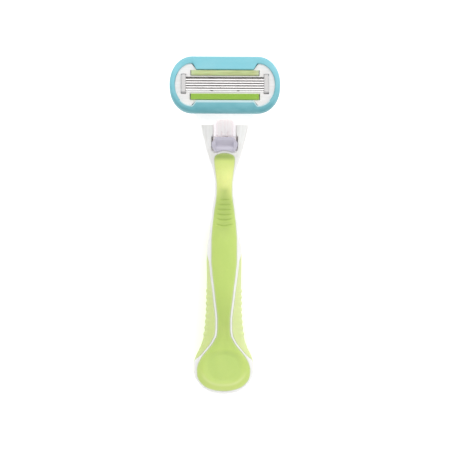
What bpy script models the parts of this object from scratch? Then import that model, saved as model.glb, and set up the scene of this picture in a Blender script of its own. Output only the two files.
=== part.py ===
"""Five-blade cartridge razor, lying on its back with the blades up.

Millimetres in the text below, metres in the scene. +X runs along the blades, +Y from the tail
towards the head, +Z up out of the front of the handle. The floor under the handle is Z = 0.
"""

import math

import bmesh
import bpy
from mathutils import Matrix, Vector

MM = 0.001
OBJECT_NAME = "cartridge_razor"

# ---- Driving dimensions (mm) ----
TAIL_Y = -74.25
NECK_END_Y = 44.35
FLOOR_FLAT_Z = 0.0
SECTION_POWER = 2.3
STATION_STEP = 2.3

# Handle outline: station along Y, half width, front height, back height.
HANDLE_STATIONS = (
    (-74.25, 1.60, 8.20, 5.60),
    (-73.70, 4.80, 9.60, 4.60),
    (-72.60, 7.40, 11.10, 3.20),
    (-71.00, 9.55, 12.40, 2.00),
    (-69.00, 11.30, 13.35, 0.90),
    (-66.50, 12.75, 14.00, 0.10),
    (-63.50, 13.15, 14.25, -0.30),
    (-60.50, 13.10, 14.25, -0.40),
    (-57.30, 12.20, 14.15, -0.40),
    (-53.80, 10.50, 13.85, -0.40),
    (-50.30, 9.25, 13.60, -0.40),
    (-46.00, 8.40, 13.60, -0.40),
    (-41.50, 7.95, 13.80, -0.40),
    (-36.00, 7.65, 14.10, -0.40),
    (-24.00, 7.60, 14.90, -0.40),
    (-15.00, 7.70, 15.30, -0.40),
    (-9.80, 7.60, 15.35, -0.40),
    (-6.30, 7.15, 15.20, -0.38),
    (-2.80, 6.65, 15.00, -0.34),
    (0.80, 6.25, 14.95, -0.20),
    (4.30, 5.70, 15.25, 0.45),
    (7.80, 5.30, 16.05, 1.75),
    (11.30, 4.80, 17.40, 3.70),
    (14.90, 4.25, 19.10, 6.00),
    (18.00, 4.15, 20.30, 8.00),
    (21.50, 4.45, 20.10, 9.85),
    (25.40, 5.40, 19.35, 11.50),
    (28.90, 6.60, 19.55, 12.70),
    (32.40, 7.70, 21.00, 13.60),
    (36.00, 8.60, 21.85, 14.20),
    (39.50, 9.50, 22.20, 14.50),
    (NECK_END_Y, 10.45, 22.30, 14.60),
)

# Half width of the front pad along Y.
PAD_EDGE = (
    (-72.90, 1.20),
    (-72.50, 4.30),
    (-71.20, 7.90),
    (-69.60, 9.90),
    (-67.90, 11.15),
    (-66.00, 11.75),
    (-63.50, 11.90),
    (-61.50, 11.55),
    (-59.50, 10.70),
    (-57.30, 9.30),
    (-55.60, 7.95),
    (-53.80, 6.40),
    (-52.00, 5.00),
    (-50.30, 4.05),
    (-48.50, 3.15),
    (-45.00, 2.80),
    (-41.50, 2.80),
    (-38.00, 3.10),
    (-34.40, 3.60),
    (-30.90, 4.00),
    (-27.40, 4.40),
    (-23.90, 4.90),
    (-20.40, 5.30),
    (-15.00, 5.75),
    (-6.00, 5.75),
    (-2.80, 5.55),
    (0.80, 5.25),
    (4.30, 4.85),
    (7.80, 4.40),
    (11.00, 3.90),
    (15.00, 3.60),
    (18.00, 3.60),
    (22.00, 3.95),
    (26.00, 4.40),
    (29.00, 4.65),
    (30.70, 4.20),
    (31.60, 2.60),
    (31.95, 0.80),
)
WHITE_LINE = 1.0
PAD_THICK = 1.35
GRIP_THICK = 1.25
SEAM = 0.15

# The rear grip's edge follows the white line between these stations, then rounds off on the back.
GRIP_LINE_Y = (-60.6, -11.0)
GRIP_END_Y = (-68.5, 3.0)

RIB_Y = (-49.0, -27.4)
RIB_PITCH = 2.7
RIB_HEIGHT = 0.38

GROOVE_Y = (11.5, 9.2, 6.95, 4.7, 2.45, -0.1)
GROOVE_HALF = (2.35, 2.75, 3.0, 3.2, 3.4, 3.65)
GROOVE_DEPTH = 0.45
GROOVE_WIDTH = 0.95

DISH_Y = -62.6
DISH_HALF = (9.5, 8.2)
DISH_DEPTH = 1.0

# Head: a frame (x, v, w) with w out of the blades, v up across them, tilted about X.
HEAD_TILT = math.radians(13.0)
HEAD_CENTRE = (61.7, 27.5)
HEAD_HALF_W = 24.3
HEAD_V = (-12.27, 13.118)
HEAD_FLAT = 14.0
HEAD_ROUNDNESS = 2.12
PIVOT = (56.4, 20.3)

SURROUND_W = (-3.0, 0.75)
OPEN_HALF_W = 22.2
OPEN_TOP_V = (7.15, 10.05)
OPEN_BOTTOM_V = (-7.0, -9.5)
OPEN_NOTCH_TOP = (12.3, 14.6)
OPEN_NOTCH_BOTTOM = (12.4, 14.7)

HOUSING_BASE_W = (-5.8, -4.6)
HOUSING_FACE_W = -0.45
WINDOW_V = (-2.65, 3.8)

BLADE_COUNT = 5
BLADE_FIRST_V = -2.22
BLADE_PITCH = 1.11
BLADE_WIDTH = 0.98
SUPPORT_FOOT_W = -4.2
BLADE_THICK = 0.10
BLADE_TILT = math.radians(21.0)
BLADE_HALF_LEN = 18.2

CLIP_X = (17.2, 19.1)
CLIP_V = (-3.62, 4.98)
CLIP_THICK = 0.34

EAR_X = (6.8, 8.8)
PIN_R = 0.95
PIN_PLAY = 0.07

NOSE_HALF = 4.95
PLUNGER_HALF = 3.5
PLUNGER_Y = (39.5, 54.8)
PLUNGER_Z = (16.95, 20.7)
ROD_Z = 18.35
BUTTON_HALF = 5.7
BUTTON_Y = (32.45, 38.95)
BUTTON_TRAVEL = 2.4


# ---- Scene helpers ----
def clear_scene():
    for old in list(bpy.data.objects):
        bpy.data.objects.remove(old, do_unlink=True)


def make_collection(name):
    made = bpy.data.collections.new(name)
    bpy.context.scene.collection.children.link(made)
    return made


def make_material(name, colour, roughness, metallic=0.0, transmission=0.0):
    made = bpy.data.materials.new(name)
    made.use_nodes = True
    shader = made.node_tree.nodes["Principled BSDF"]
    shader.inputs["Base Color"].default_value = (*colour, 1.0)
    shader.inputs["Roughness"].default_value = roughness
    shader.inputs["Metallic"].default_value = metallic
    shader.inputs["Transmission Weight"].default_value = transmission
    made.diffuse_color = (*colour, 1.0)
    return made


def add_object(name, mesh, collection, material=None, parent=None, smooth_deg=35.0):
    made = bpy.data.objects.new(name, mesh)
    collection.objects.link(made)
    if material is not None:
        mesh.materials.append(material)
    if parent is not None:
        made.parent = parent
    mesh.shade_smooth()
    mesh.set_sharp_from_angle(angle=math.radians(smooth_deg))
    return made


def mesh_from(name, vertices, faces):
    """A mesh in metres from vertices in mm, in flat triangles turned outwards."""
    mesh = bpy.data.meshes.new(name)
    mesh.from_pydata([[c * MM for c in v] for v in vertices], [], faces)
    work = bmesh.new()
    work.from_mesh(mesh)
    bmesh.ops.recalc_face_normals(work, faces=work.faces)
    bmesh.ops.triangulate(work, faces=work.faces, ngon_method="EAR_CLIP")
    work.to_mesh(mesh)
    work.free()
    return mesh


def loft_mesh(name, rings):
    """A closed skin through rings of equal length, with both ends capped."""
    count = len(rings[0])
    vertices = [p for ring in rings for p in ring]
    faces = []
    for i in range(len(rings) - 1):
        for j in range(count):
            k = (j + 1) % count
            faces.append((i * count + j, i * count + k, (i + 1) * count + k, (i + 1) * count + j))
    faces.append(tuple(range(count)))
    last = (len(rings) - 1) * count
    faces.append(tuple(range(last + count - 1, last - 1, -1)))
    return mesh_from(name, vertices, faces)


def hoop_mesh(name, rings):
    """A closed skin through rings of equal length that come round to the first again."""
    count = len(rings[0])
    total = len(rings)
    vertices = [p for ring in rings for p in ring]
    faces = []
    for i in range(total):
        n = (i + 1) % total
        for j in range(count):
            k = (j + 1) % count
            faces.append((i * count + j, i * count + k, n * count + k, n * count + j))
    return mesh_from(name, vertices, faces)


def outline_mesh(name, outline, low, high, turn=None):
    """A flat outline, as (first, second) pairs in mm, extruded along its normal from low to high."""
    curve = bpy.data.curves.new(name, "CURVE")
    curve.dimensions = "2D"
    curve.fill_mode = "BOTH"
    curve.extrude = (high - low) / 2 * MM
    spline = curve.splines.new("POLY")
    spline.points.add(len(outline) - 1)
    for point, (a, b) in zip(spline.points, outline):
        point.co = (a * MM, b * MM, 0.0, 1.0)
    spline.use_cyclic_u = True
    holder = bpy.data.objects.new(name, curve)
    mesh = bpy.data.meshes.new_from_object(holder)
    bpy.data.objects.remove(holder)
    bpy.data.curves.remove(curve)
    mesh.transform(Matrix.Translation((0, 0, (high + low) / 2 * MM)))
    if turn is not None:
        mesh.transform(turn)
    work = bmesh.new()
    work.from_mesh(mesh)
    bmesh.ops.remove_doubles(work, verts=work.verts, dist=1e-6)
    bmesh.ops.recalc_face_normals(work, faces=work.faces)
    work.to_mesh(mesh)
    work.free()
    return mesh


# An outline drawn in (Y, Z) and extruded along X.
ALONG_X = Matrix(((0, 0, 1, 0), (1, 0, 0, 0), (0, 1, 0, 0), (0, 0, 0, 1)))


def box_mesh(name, x, y, z):
    work = bmesh.new()
    bmesh.ops.create_cube(work, size=1.0)
    size = Vector((x[1] - x[0], y[1] - y[0], z[1] - z[0]))
    middle = Vector((x[1] + x[0], y[1] + y[0], z[1] + z[0])) / 2
    bmesh.ops.scale(work, vec=size * MM, verts=work.verts)
    bmesh.ops.translate(work, vec=middle * MM, verts=work.verts)
    mesh = bpy.data.meshes.new(name)
    work.to_mesh(mesh)
    work.free()
    return mesh


def cylinder_mesh(name, radius, start, end, segments=24):
    """A round bar of the radius between two points, in mm."""
    a, b = Vector(start) * MM, Vector(end) * MM
    axis = b - a
    work = bmesh.new()
    bmesh.ops.create_cone(
        work,
        cap_ends=True,
        segments=segments,
        radius1=radius * MM,
        radius2=radius * MM,
        depth=axis.length,
    )
    turn = Vector((0, 0, 1)).rotation_difference(axis).to_matrix().to_4x4()
    bmesh.ops.transform(work, matrix=Matrix.Translation((a + b) / 2) @ turn, verts=work.verts)
    mesh = bpy.data.meshes.new(name)
    work.to_mesh(mesh)
    work.free()
    return mesh


def bevel(target, width, segments=2, angle=35.0):
    edge = target.modifiers.new("rounded_edges", "BEVEL")
    edge.width = width * MM
    edge.segments = segments
    edge.limit_method = "ANGLE"
    edge.angle_limit = math.radians(angle)
    edge.harden_normals = False
    return edge


def combine(target, mesh, operation, cutters, parent=None, location=(0, 0, 0)):
    """A Boolean of the target with a helper body kept out of sight in its own collection."""
    helper = bpy.data.objects.new(mesh.name, mesh)
    cutters.objects.link(helper)
    helper.hide_render = True
    helper.display_type = "WIRE"
    if parent is not None:
        helper.parent = parent
        helper.location = location
    modifier = target.modifiers.new(mesh.name, "BOOLEAN")
    modifier.operation = operation
    modifier.solver = "EXACT"
    modifier.object = helper
    return helper


# ---- Handle surface ----
def smooth_value(rows, column, y):
    """Monotone cubic through the rows' (station, value) pairs, held level beyond both ends."""
    if y <= rows[0][0]:
        return rows[0][column]
    if y >= rows[-1][0]:
        return rows[-1][column]
    i = max(n for n in range(len(rows) - 1) if rows[n][0] <= y)

    def slope(n):
        return (rows[n + 1][column] - rows[n][column]) / (rows[n + 1][0] - rows[n][0])

    def tangent(n):
        if n == 0 or n == len(rows) - 1:
            return slope(min(n, len(rows) - 2))
        before, after = slope(n - 1), slope(n)
        if before * after <= 0:
            return 0.0
        return 2 * before * after / (before + after)

    span = rows[i + 1][0] - rows[i][0]
    t = (y - rows[i][0]) / span
    a, b = rows[i][column], rows[i + 1][column]
    ta, tb = tangent(i) * span, tangent(i + 1) * span
    cubed, squared = t**3, t**2
    return (
        (2 * cubed - 3 * squared + 1) * a
        + (cubed - 2 * squared + t) * ta
        + (3 * squared - 2 * cubed) * b
        + (cubed - squared) * tb
    )


def half_width(y):
    return smooth_value(HANDLE_STATIONS, 1, y)


def pad_half(y):
    return smooth_value(PAD_EDGE, 1, y)


def ease(t):
    t = min(max(t, 0.0), 1.0)
    return t * t * (3 - 2 * t)


def skin_point(y, angle, depth):
    """Point on the handle's section at the angle (0 at +X, 90 degrees at the front), sunk by depth."""
    w = half_width(y)
    front = smooth_value(HANDLE_STATIONS, 2, y)
    back = smooth_value(HANDLE_STATIONS, 3, y)
    middle, h = (front + back) / 2, (front - back) / 2
    p = 2 / SECTION_POWER
    c, s = math.cos(angle), math.sin(angle)
    x = math.copysign(abs(c) ** p, c) * w
    z = middle + math.copysign(abs(s) ** p, s) * h
    nx = math.copysign(abs(c) ** (2 - p), c) / w
    nz = math.copysign(abs(s) ** (2 - p), s) / h
    length = math.hypot(nx, nz)
    x -= depth * nx / length
    z -= depth * nz / length
    return x, y, max(z, FLOOR_FLAT_Z + max(depth, 0.0))


def angle_at(y, x):
    """Section angle on the front at which the skin is x from the middle."""
    share = min(max(x / half_width(y), 0.0), 1.0)
    return math.acos(share ** (SECTION_POWER / 2))


def grip_angle(y):
    """Section angle of the rear grip's edge: on the white line, then round onto the back."""
    if GRIP_LINE_Y[0] <= y <= GRIP_LINE_Y[1]:
        blend = min(ease((y - GRIP_LINE_Y[0]) / 3.5), ease((GRIP_LINE_Y[1] - y) / 5.0))
        return blend * angle_at(y, pad_half(y) + WHITE_LINE)
    if y > GRIP_LINE_Y[1]:
        t = (y - GRIP_LINE_Y[1]) / (GRIP_END_Y[1] - GRIP_LINE_Y[1])
    else:
        t = (GRIP_LINE_Y[0] - y) / (GRIP_LINE_Y[0] - GRIP_END_Y[0])
    return -math.radians(84.0) * (1 - math.sqrt(max(1 - min(t, 1.0) ** 2, 0.0)))


def spread(start, end, count):
    return [start + (end - start) * i / (count - 1) for i in range(count)]


def core_ring(y, pad_depth, grip_depth):
    edge = angle_at(y, pad_half(y) + SEAM)
    side = grip_angle(y)
    seam = SEAM / half_width(y)
    ring = [skin_point(y, a, pad_depth) for a in spread(edge, math.pi - edge, 9)]
    left = spread(math.pi - edge + 0.001, math.pi - side - seam, 4)
    ring += [skin_point(y, a, 0.0) for a in left]
    back = spread(math.pi - side - seam + 0.001, 2 * math.pi + side + seam - 0.001, 19)
    ring += [skin_point(y, a, grip_depth) for a in back]
    right = spread(side + seam, edge - 0.001, 4)
    ring += [skin_point(y, a, 0.0) for a in right]
    return ring


def groove_depth(y, x):
    depth = 0.0
    for centre, half in zip(GROOVE_Y, GROOVE_HALF):
        across = abs(y - centre) / (GROOVE_WIDTH / 2)
        along = ease((half + 0.35 - abs(x)) / 0.7)
        depth = max(depth, GROOVE_DEPTH * ease(1 - across) * along)
    return depth


def dish_depth(y, x):
    r = math.hypot(x / DISH_HALF[0], (y - DISH_Y) / DISH_HALF[1])
    return DISH_DEPTH * ease((1 - r) / 0.55)


def bow_shift(y, x):
    """How far the grooves' ends lead their middles: back at the first one, forward further down."""
    rise = ease((12.5 - y) / 12.5) * 1.9 - 0.35
    window = min(ease((16.5 - y) / 4.0), ease((y + 7.0) / 5.0))
    share = min(abs(x) / pad_half(y), 1.0)
    return rise * window * share**2 * (1 - share**4)


def pad_ring(y):
    edge = angle_at(y, pad_half(y))
    top = []
    for a in spread(edge, math.pi - edge, 13):
        x = skin_point(y, a, 0.0)[0]
        extra = groove_depth(y, x) + dish_depth(y, x)
        point = list(skin_point(y, a, extra))
        point[1] += bow_shift(y, x)
        top.append(tuple(point))
    # Slightly rolled edges at both sides.
    first, last = top[0], top[-1]
    top[0] = (first[0], first[1], first[2] - 0.12)
    top[-1] = (last[0], last[1], last[2] - 0.12)
    bottom = []
    for a in spread(math.pi - edge, edge, 7):
        point = list(skin_point(y, a, PAD_THICK - 0.2))
        x = skin_point(y, a, 0.0)[0]
        point[1] += bow_shift(y, x)
        bottom.append(tuple(point))
    return top + bottom


def rib_rise(y, angle):
    if not RIB_Y[0] < y < RIB_Y[1]:
        return 0.0
    wave = 0.5 - 0.5 * math.cos(2 * math.pi * (y - RIB_Y[0]) / RIB_PITCH)
    side = abs(math.cos(angle)) ** 1.5
    return RIB_HEIGHT * wave * side


def grip_ring(y):
    side = grip_angle(y)
    seam = SEAM / half_width(y)
    outer = []
    for a in spread(math.pi - side + seam, 2 * math.pi + side - seam, 19):
        outer.append(skin_point(y, a, -rib_rise(y, a)))
    inner = []
    for a in spread(2 * math.pi + side - seam, math.pi - side + seam, 13):
        inner.append(skin_point(y, a, GRIP_THICK - 0.2))
    return outer + inner


def handle_marks(start, end, extra=()):
    """The stations shared by the handle's three skins between two ends, with extra ones put in."""
    count = int(round((NECK_END_Y - TAIL_Y) / STATION_STEP))
    shared = spread(TAIL_Y, NECK_END_Y, count + 1)
    shared += [row[0] for row in (*HANDLE_STATIONS[:5], *PAD_EDGE[:6], *PAD_EDGE[-6:])]
    shared += [GRIP_END_Y[0] + d for d in (0.4, 1.2, 2.6, 5.0)]
    shared += [GRIP_END_Y[1] - d for d in (0.5, 1.6, 3.4, 6.0)]
    marks = sorted(m for m in (*shared, *extra) if start < m < end)
    kept = [start]
    for mark in marks:
        if mark - kept[-1] > 0.12 and end - mark > 0.12:
            kept.append(mark)
    return kept + [end]


def build_core_mesh():
    pad_ends = (PAD_EDGE[0][0], PAD_EDGE[-1][0])
    marks = handle_marks(TAIL_Y, NECK_END_Y)
    for low, high in (pad_ends, GRIP_END_Y):
        for limit, outward in ((low - SEAM, -0.04), (high + SEAM, 0.04)):
            marks = [m for m in marks if abs(m - limit) > 0.1] + [limit, limit + outward]
    rings = []
    for y in sorted(marks):
        pad_in = pad_ends[0] - SEAM <= y <= pad_ends[1] + SEAM
        grip_in = GRIP_END_Y[0] - SEAM <= y <= GRIP_END_Y[1] + SEAM
        rings.append(core_ring(y, PAD_THICK if pad_in else 0.0, GRIP_THICK if grip_in else 0.0))
    return loft_mesh("handle_core", rings)


def build_pad_mesh():
    grooves = []
    for centre in GROOVE_Y:
        grooves += [centre - 0.48, centre - 0.22, centre, centre + 0.22, centre + 0.48]
    marks = handle_marks(PAD_EDGE[0][0], PAD_EDGE[-1][0], grooves)
    return loft_mesh("front_grip", [pad_ring(y) for y in marks])


def build_grip_mesh():
    ribs = []
    y = RIB_Y[0]
    while y < RIB_Y[1] + 0.1:
        ribs += [y, y + RIB_PITCH * 0.3, y + RIB_PITCH * 0.5, y + RIB_PITCH * 0.7]
        y += RIB_PITCH
    return loft_mesh("rear_grip", [grip_ring(y) for y in handle_marks(*GRIP_END_Y, ribs)])


# ---- Head outlines, in the head's frame ----
def arc(cx, cy, radius, start_deg, end_deg, count):
    angles = spread(math.radians(start_deg), math.radians(end_deg), count)
    return [(cx + radius * math.cos(a), cy + radius * math.sin(a)) for a in angles]


def polyline(points, count):
    """Evenly spaced points along a line through the given ones, the last left off."""
    lengths = [math.dist(a, b) for a, b in zip(points, points[1:])]
    total = sum(lengths)
    made = []
    for i in range(count):
        want = total * i / count
        for a, b, run in zip(points, points[1:], lengths):
            if want <= run:
                t = want / run
                made.append((a[0] + (b[0] - a[0]) * t, a[1] + (b[1] - a[1]) * t))
                break
            want -= run
    return made


def mirrored(quarter_top, quarter_bottom):
    """A closed outline from its right half: top middle to side, then side to bottom middle."""
    right = quarter_top + quarter_bottom
    left = [(-x, v) for x, v in reversed(right)]
    return right + left


def end_cap(flat, half_w, low, high, start_deg, end_deg, count, power):
    """Points round an end: a rounded half-oval between the top and bottom flats, +X side."""
    middle, half = (low + high) / 2, (high - low) / 2
    made = []
    for a in spread(math.radians(start_deg), math.radians(end_deg), count):
        c, k = math.cos(a), math.sin(a)
        x = flat + (half_w - flat) * abs(c) ** (2 / power)
        made.append((x, middle + half * math.copysign(abs(k) ** (2 / power), k)))
    return made


def outer_outline():
    flat, side = HEAD_FLAT, HEAD_HALF_W
    low, high = HEAD_V
    top = polyline([(0.6, high), (12.3, high)], 5) + polyline([(12.3, high), (flat, high)], 3)
    top += end_cap(flat, side, low, high, 90, 0, 15, HEAD_ROUNDNESS)[:-1]
    bottom = end_cap(flat, side, low, high, 0, -90, 15, HEAD_ROUNDNESS)[:-1]
    bottom += polyline([(flat, low), (12.4, low)], 3)
    bottom += polyline([(12.4, low), (0.6, low)], 5) + [(0.6, low)]
    return mirrored(top, bottom)


def base_outline(inset):
    """The head's outline drawn in, with no points along its two straight sides."""
    low, high = HEAD_V[0] + inset, HEAD_V[1] - inset
    cap = end_cap(HEAD_FLAT, HEAD_HALF_W - inset, low, high, 90, -90, 25, HEAD_ROUNDNESS)
    return cap + [(-x, v) for x, v in reversed(cap)]


def inner_outline(inset=0.0):
    """The opening in the soft surround: a band with a deeper round pocket at each end."""
    flat_top = OPEN_TOP_V[0] - inset
    pocket_top = OPEN_TOP_V[1] - inset
    flat_low = OPEN_BOTTOM_V[0] + inset
    pocket_low = OPEN_BOTTOM_V[1] + inset
    side = OPEN_HALF_W - inset
    shift = inset * 0.6
    near_top, far_top = (x + shift for x in OPEN_NOTCH_TOP)
    near_low, far_low = (x + shift for x in OPEN_NOTCH_BOTTOM)
    top = polyline([(0.6, flat_top), (near_top, flat_top)], 5)
    top += polyline([(near_top, flat_top), (far_top, pocket_top)], 3)
    top += end_cap(far_top, side, pocket_low, pocket_top, 90, 0, 15, 2.0)[:-1]
    bottom = end_cap(far_low, side, pocket_low, pocket_top, 0, -90, 15, 2.0)[:-1]
    bottom += polyline([(far_low, pocket_low), (near_low, flat_low)], 3)
    bottom += polyline([(near_low, flat_low), (0.6, flat_low)], 5)
    bottom += [(0.6, flat_low)]
    return mirrored(top, bottom)


def build_surround_mesh():
    """The soft frame: across it from outside to inside, a low crown rounded at both edges."""
    low, high = SURROUND_W
    profile = (
        (0.08, low),
        (0.0, low + 0.6),
        (0.0, high - 1.9),
        (0.05, high - 1.2),
        (0.16, high - 0.45),
        (0.36, high - 0.08),
        (0.58, high),
        (0.82, high - 0.1),
        (0.96, high - 0.35),
        (1.0, high - 0.75),
        (1.0, low),
    )
    rings = []
    for (ox, ov), (ix, iv) in zip(outer_outline(), inner_outline()):
        ring = []
        for share, w in profile:
            ring.append((ox + (ix - ox) * share, ov + (iv - ov) * share, w))
        rings.append(ring)
    return hoop_mesh("comfort_surround", rings)


def strip_profile(low_v, high_v, low_w, high_w, round_w):
    """A bar's section with a slightly crowned top."""
    span = high_v - low_v
    top = []
    for t in spread(0.0, 1.0, 7):
        crown = 1 - (2 * t - 1) ** 4
        top.append((low_v + span * t, high_w - round_w + round_w * crown))
    return [(high_v, low_w), (low_v, low_w)][::-1] + top[::-1]


def fin_profile(low_v, high_v, low_w, valley_w, crest_w, fins):
    """The guard's section: a row of small rounded fins."""
    pitch = (high_v - low_v) / fins
    points = [(low_v, low_w)]
    for i in range(fins):
        base = low_v + pitch * i
        points += [
            (base, valley_w),
            (base + pitch * 0.28, crest_w),
            (base + pitch * 0.62, crest_w),
        ]
    points += [(high_v, valley_w), (high_v, low_w)]
    return points


def blade_edge_v(number):
    return BLADE_FIRST_V + BLADE_PITCH * number


def blade_frame(number, along, above):
    """(v, w) of a point given along the blade from its edge and above its middle plane."""
    c, s = math.cos(BLADE_TILT), math.sin(BLADE_TILT)
    return blade_edge_v(number) + along * c + above * s, -along * s + above * c


def blade_profile(number):
    half = BLADE_THICK / 2
    local = ((0.0, 0.0), (0.3, half), (BLADE_WIDTH, half), (BLADE_WIDTH, -half), (0.3, -half))
    return [blade_frame(number, a, b) for a, b in local]


def support_profile(number):
    top = -BLADE_THICK / 2 - 0.02
    under = top - 0.13
    flange_front_top = blade_frame(number, 0.4, top)
    flange_back_top = blade_frame(number, BLADE_WIDTH - 0.02, top)
    flange_front_low = blade_frame(number, 0.4, under)
    leg_v = flange_back_top[0]
    bend_low = blade_frame(number, BLADE_WIDTH - 0.2, under)
    return [
        flange_front_top,
        flange_back_top,
        (leg_v, SUPPORT_FOOT_W),
        (leg_v - 0.14, SUPPORT_FOOT_W),
        (leg_v - 0.14, bend_low[1]),
        flange_front_low,
    ]


def clip_profile():
    """A strap over the blade ends, its legs turned down through the housing, in (v, w)."""
    low, high = CLIP_V
    outer_w, inner_w, foot = 0.5, 0.5 - CLIP_THICK, -6.15
    return [
        (low, foot),
        (low, outer_w - 0.55),
        (low + 0.16, outer_w - 0.16),
        (low + 0.55, outer_w),
        (high - 0.55, outer_w),
        (high - 0.16, outer_w - 0.16),
        (high, outer_w - 0.55),
        (high, foot),
        (high - CLIP_THICK, foot),
        (high - CLIP_THICK, inner_w - 0.3),
        (high - CLIP_THICK - 0.2, inner_w),
        (low + CLIP_THICK + 0.2, inner_w),
        (low + CLIP_THICK, inner_w - 0.3),
        (low + CLIP_THICK, foot),
    ]


def in_head(mesh):
    """Moves a mesh drawn in the head's frame so that the pivot is its origin."""
    v, w = pivot_in_head()
    mesh.transform(Matrix.Translation((0, -v * MM, -w * MM)))
    return mesh


def pivot_in_head():
    y = PIVOT[0] - HEAD_CENTRE[0]
    z = PIVOT[1] - HEAD_CENTRE[1]
    c, s = math.cos(HEAD_TILT), math.sin(HEAD_TILT)
    return y * c - z * s, y * s + z * c


# ---- Pieces ----
def build_handle(parts, cutters):
    white = make_material("white_core", (0.90, 0.90, 0.86), 0.35)
    pale_green = make_material("pale_green_rubber", (0.52, 0.68, 0.22), 0.6)
    lime = make_material("lime_rubber", (0.58, 0.74, 0.25), 0.55)

    core = add_object("handle_core", build_core_mesh(), parts, white, smooth_deg=40)
    # Well for the button and nose, open towards the head.
    well = outline_mesh("nose_well", [(-5.2, 32.9), (5.2, 32.9), (5.2, 46.0), (-5.2, 46.0)], 15.95, 30.0)
    combine(core, well, "DIFFERENCE", cutters)
    rear = arc(0, BUTTON_Y[0] - 5.35, 5.85, 117, 63, 9)
    seat = [(-6.0, 33.2), (-4.9, 32.2), *rear, (4.9, 32.2), (6.0, 33.2), (6.0, 41.8), (-6.0, 41.8)]
    combine(core, outline_mesh("button_seat", seat, 20.15, 30.0), "DIFFERENCE", cutters)
    for side, name in ((-1, "left"), (1, "right")):
        slot = box_mesh(f"stem_slot_{name}", sorted((side * 5.0, side * 6.5)), (34.3, 41.0), (16.9, 19.9))
        combine(core, slot, "DIFFERENCE", cutters)
        mouth = box_mesh(f"stem_mouth_{name}", sorted((side * 4.9, side * 5.85)), (33.0, 41.0), (19.0, 20.9))
        combine(core, mouth, "DIFFERENCE", cutters)

    add_object("front_grip", build_pad_mesh(), parts, pale_green, smooth_deg=40)
    add_object("rear_grip", build_grip_mesh(), parts, lime, smooth_deg=40)


def build_nose(parts, cutters):
    clear_white = make_material("translucent_white", (0.93, 0.92, 0.90), 0.3, transmission=0.15)
    side = [
        (33.2, 16.2),
        (52.9, 16.2),
        (52.9, 20.4),
        (52.3, 21.0),
        (39.25, 21.0),
        (39.25, 19.9),
        (33.2, 19.9),
    ]
    mesh = outline_mesh("docking_nose", side, -NOSE_HALF, NOSE_HALF, ALONG_X)
    nose = add_object("docking_nose", mesh, parts, clear_white, smooth_deg=30)
    channel = box_mesh("plunger_channel", (-3.65, 3.65), (33.95, 60.0), (16.75, 30.0))
    combine(nose, channel, "DIFFERENCE", cutters)
    edge = bevel(nose, 0.2, 2)
    edge.limit_method = "ANGLE"


def build_plunger(parts, cutters):
    pink = make_material("plunger_white", (0.90, 0.86, 0.85), 0.32)
    y0, y1 = PLUNGER_Y
    z0, z1 = PLUNGER_Z
    outline = [
        (-PLUNGER_HALF + 0.5, y0),
        (PLUNGER_HALF - 0.5, y0),
        (PLUNGER_HALF, y0 + 0.5),
        (PLUNGER_HALF, y1 - 1.2),
        (PLUNGER_HALF - 0.8, y1),
        (-PLUNGER_HALF + 0.8, y1),
        (-PLUNGER_HALF, y1 - 1.2),
        (-PLUNGER_HALF, y0 + 0.5),
    ]
    plunger = add_object("plunger", outline_mesh("plunger", outline, z0, z1), parts, pink, smooth_deg=30)
    edge = bevel(plunger, 0.22, 2)
    edge.limit_method = "ANGLE"
    rod = cylinder_mesh("plunger_rod", 0.85, (0, 36.9, ROD_Z), (0, y0 + 1.0, ROD_Z))
    combine(plunger, rod, "UNION", cutters)
    for side, name in ((-1, "left"), (1, "right")):
        x = sorted((side * 1.05, side * 1.65))
        slot = box_mesh(f"plunger_slot_{name}", x, (y0 - 1.0, y0 + 2.0), (19.9, 30.0))
        combine(plunger, slot, "DIFFERENCE", cutters)


def coil_mesh(name, radius, wire, start_y, end_y, turns, x, z, per_turn=12):
    """A round-wire coil along Y as a mesh with its ends closed."""
    curve = bpy.data.curves.new(name, "CURVE")
    curve.dimensions = "3D"
    curve.bevel_depth = wire * MM
    curve.bevel_resolution = 2
    curve.use_fill_caps = True
    spline = curve.splines.new("POLY")
    count = int(turns * per_turn) + 1
    spline.points.add(count - 1)
    for i, point in enumerate(spline.points):
        t = i / (count - 1)
        a = 2 * math.pi * turns * t
        y = start_y + (end_y - start_y) * t
        place = ((x + radius * math.cos(a)) * MM, y * MM, (z + radius * math.sin(a)) * MM, 1.0)
        point.co = place
    holder = bpy.data.objects.new(name, curve)
    mesh = bpy.data.meshes.new_from_object(holder)
    bpy.data.objects.remove(holder)
    bpy.data.curves.remove(curve)
    work = bmesh.new()
    work.from_mesh(mesh)
    bmesh.ops.remove_doubles(work, verts=work.verts, dist=1e-6)
    bmesh.ops.recalc_face_normals(work, faces=work.faces)
    work.to_mesh(mesh)
    work.free()
    return mesh


def build_springs(parts):
    steel = make_material("spring_steel", (0.62, 0.63, 0.65), 0.3, metallic=1.0)
    mesh = coil_mesh("plunger_spring", 1.3, 0.2, 34.2, 39.2, 5, 0.0, ROD_Z)
    add_object("plunger_spring", mesh, parts, steel)
    for side, name in ((-1, "left"), (1, "right")):
        mesh = coil_mesh(f"button_spring_{name}", 0.56, 0.12, 36.65, 40.8, 6, side * 5.76, 18.2, 10)
        add_object(f"button_spring_{name}", mesh, parts, steel.copy())


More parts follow.
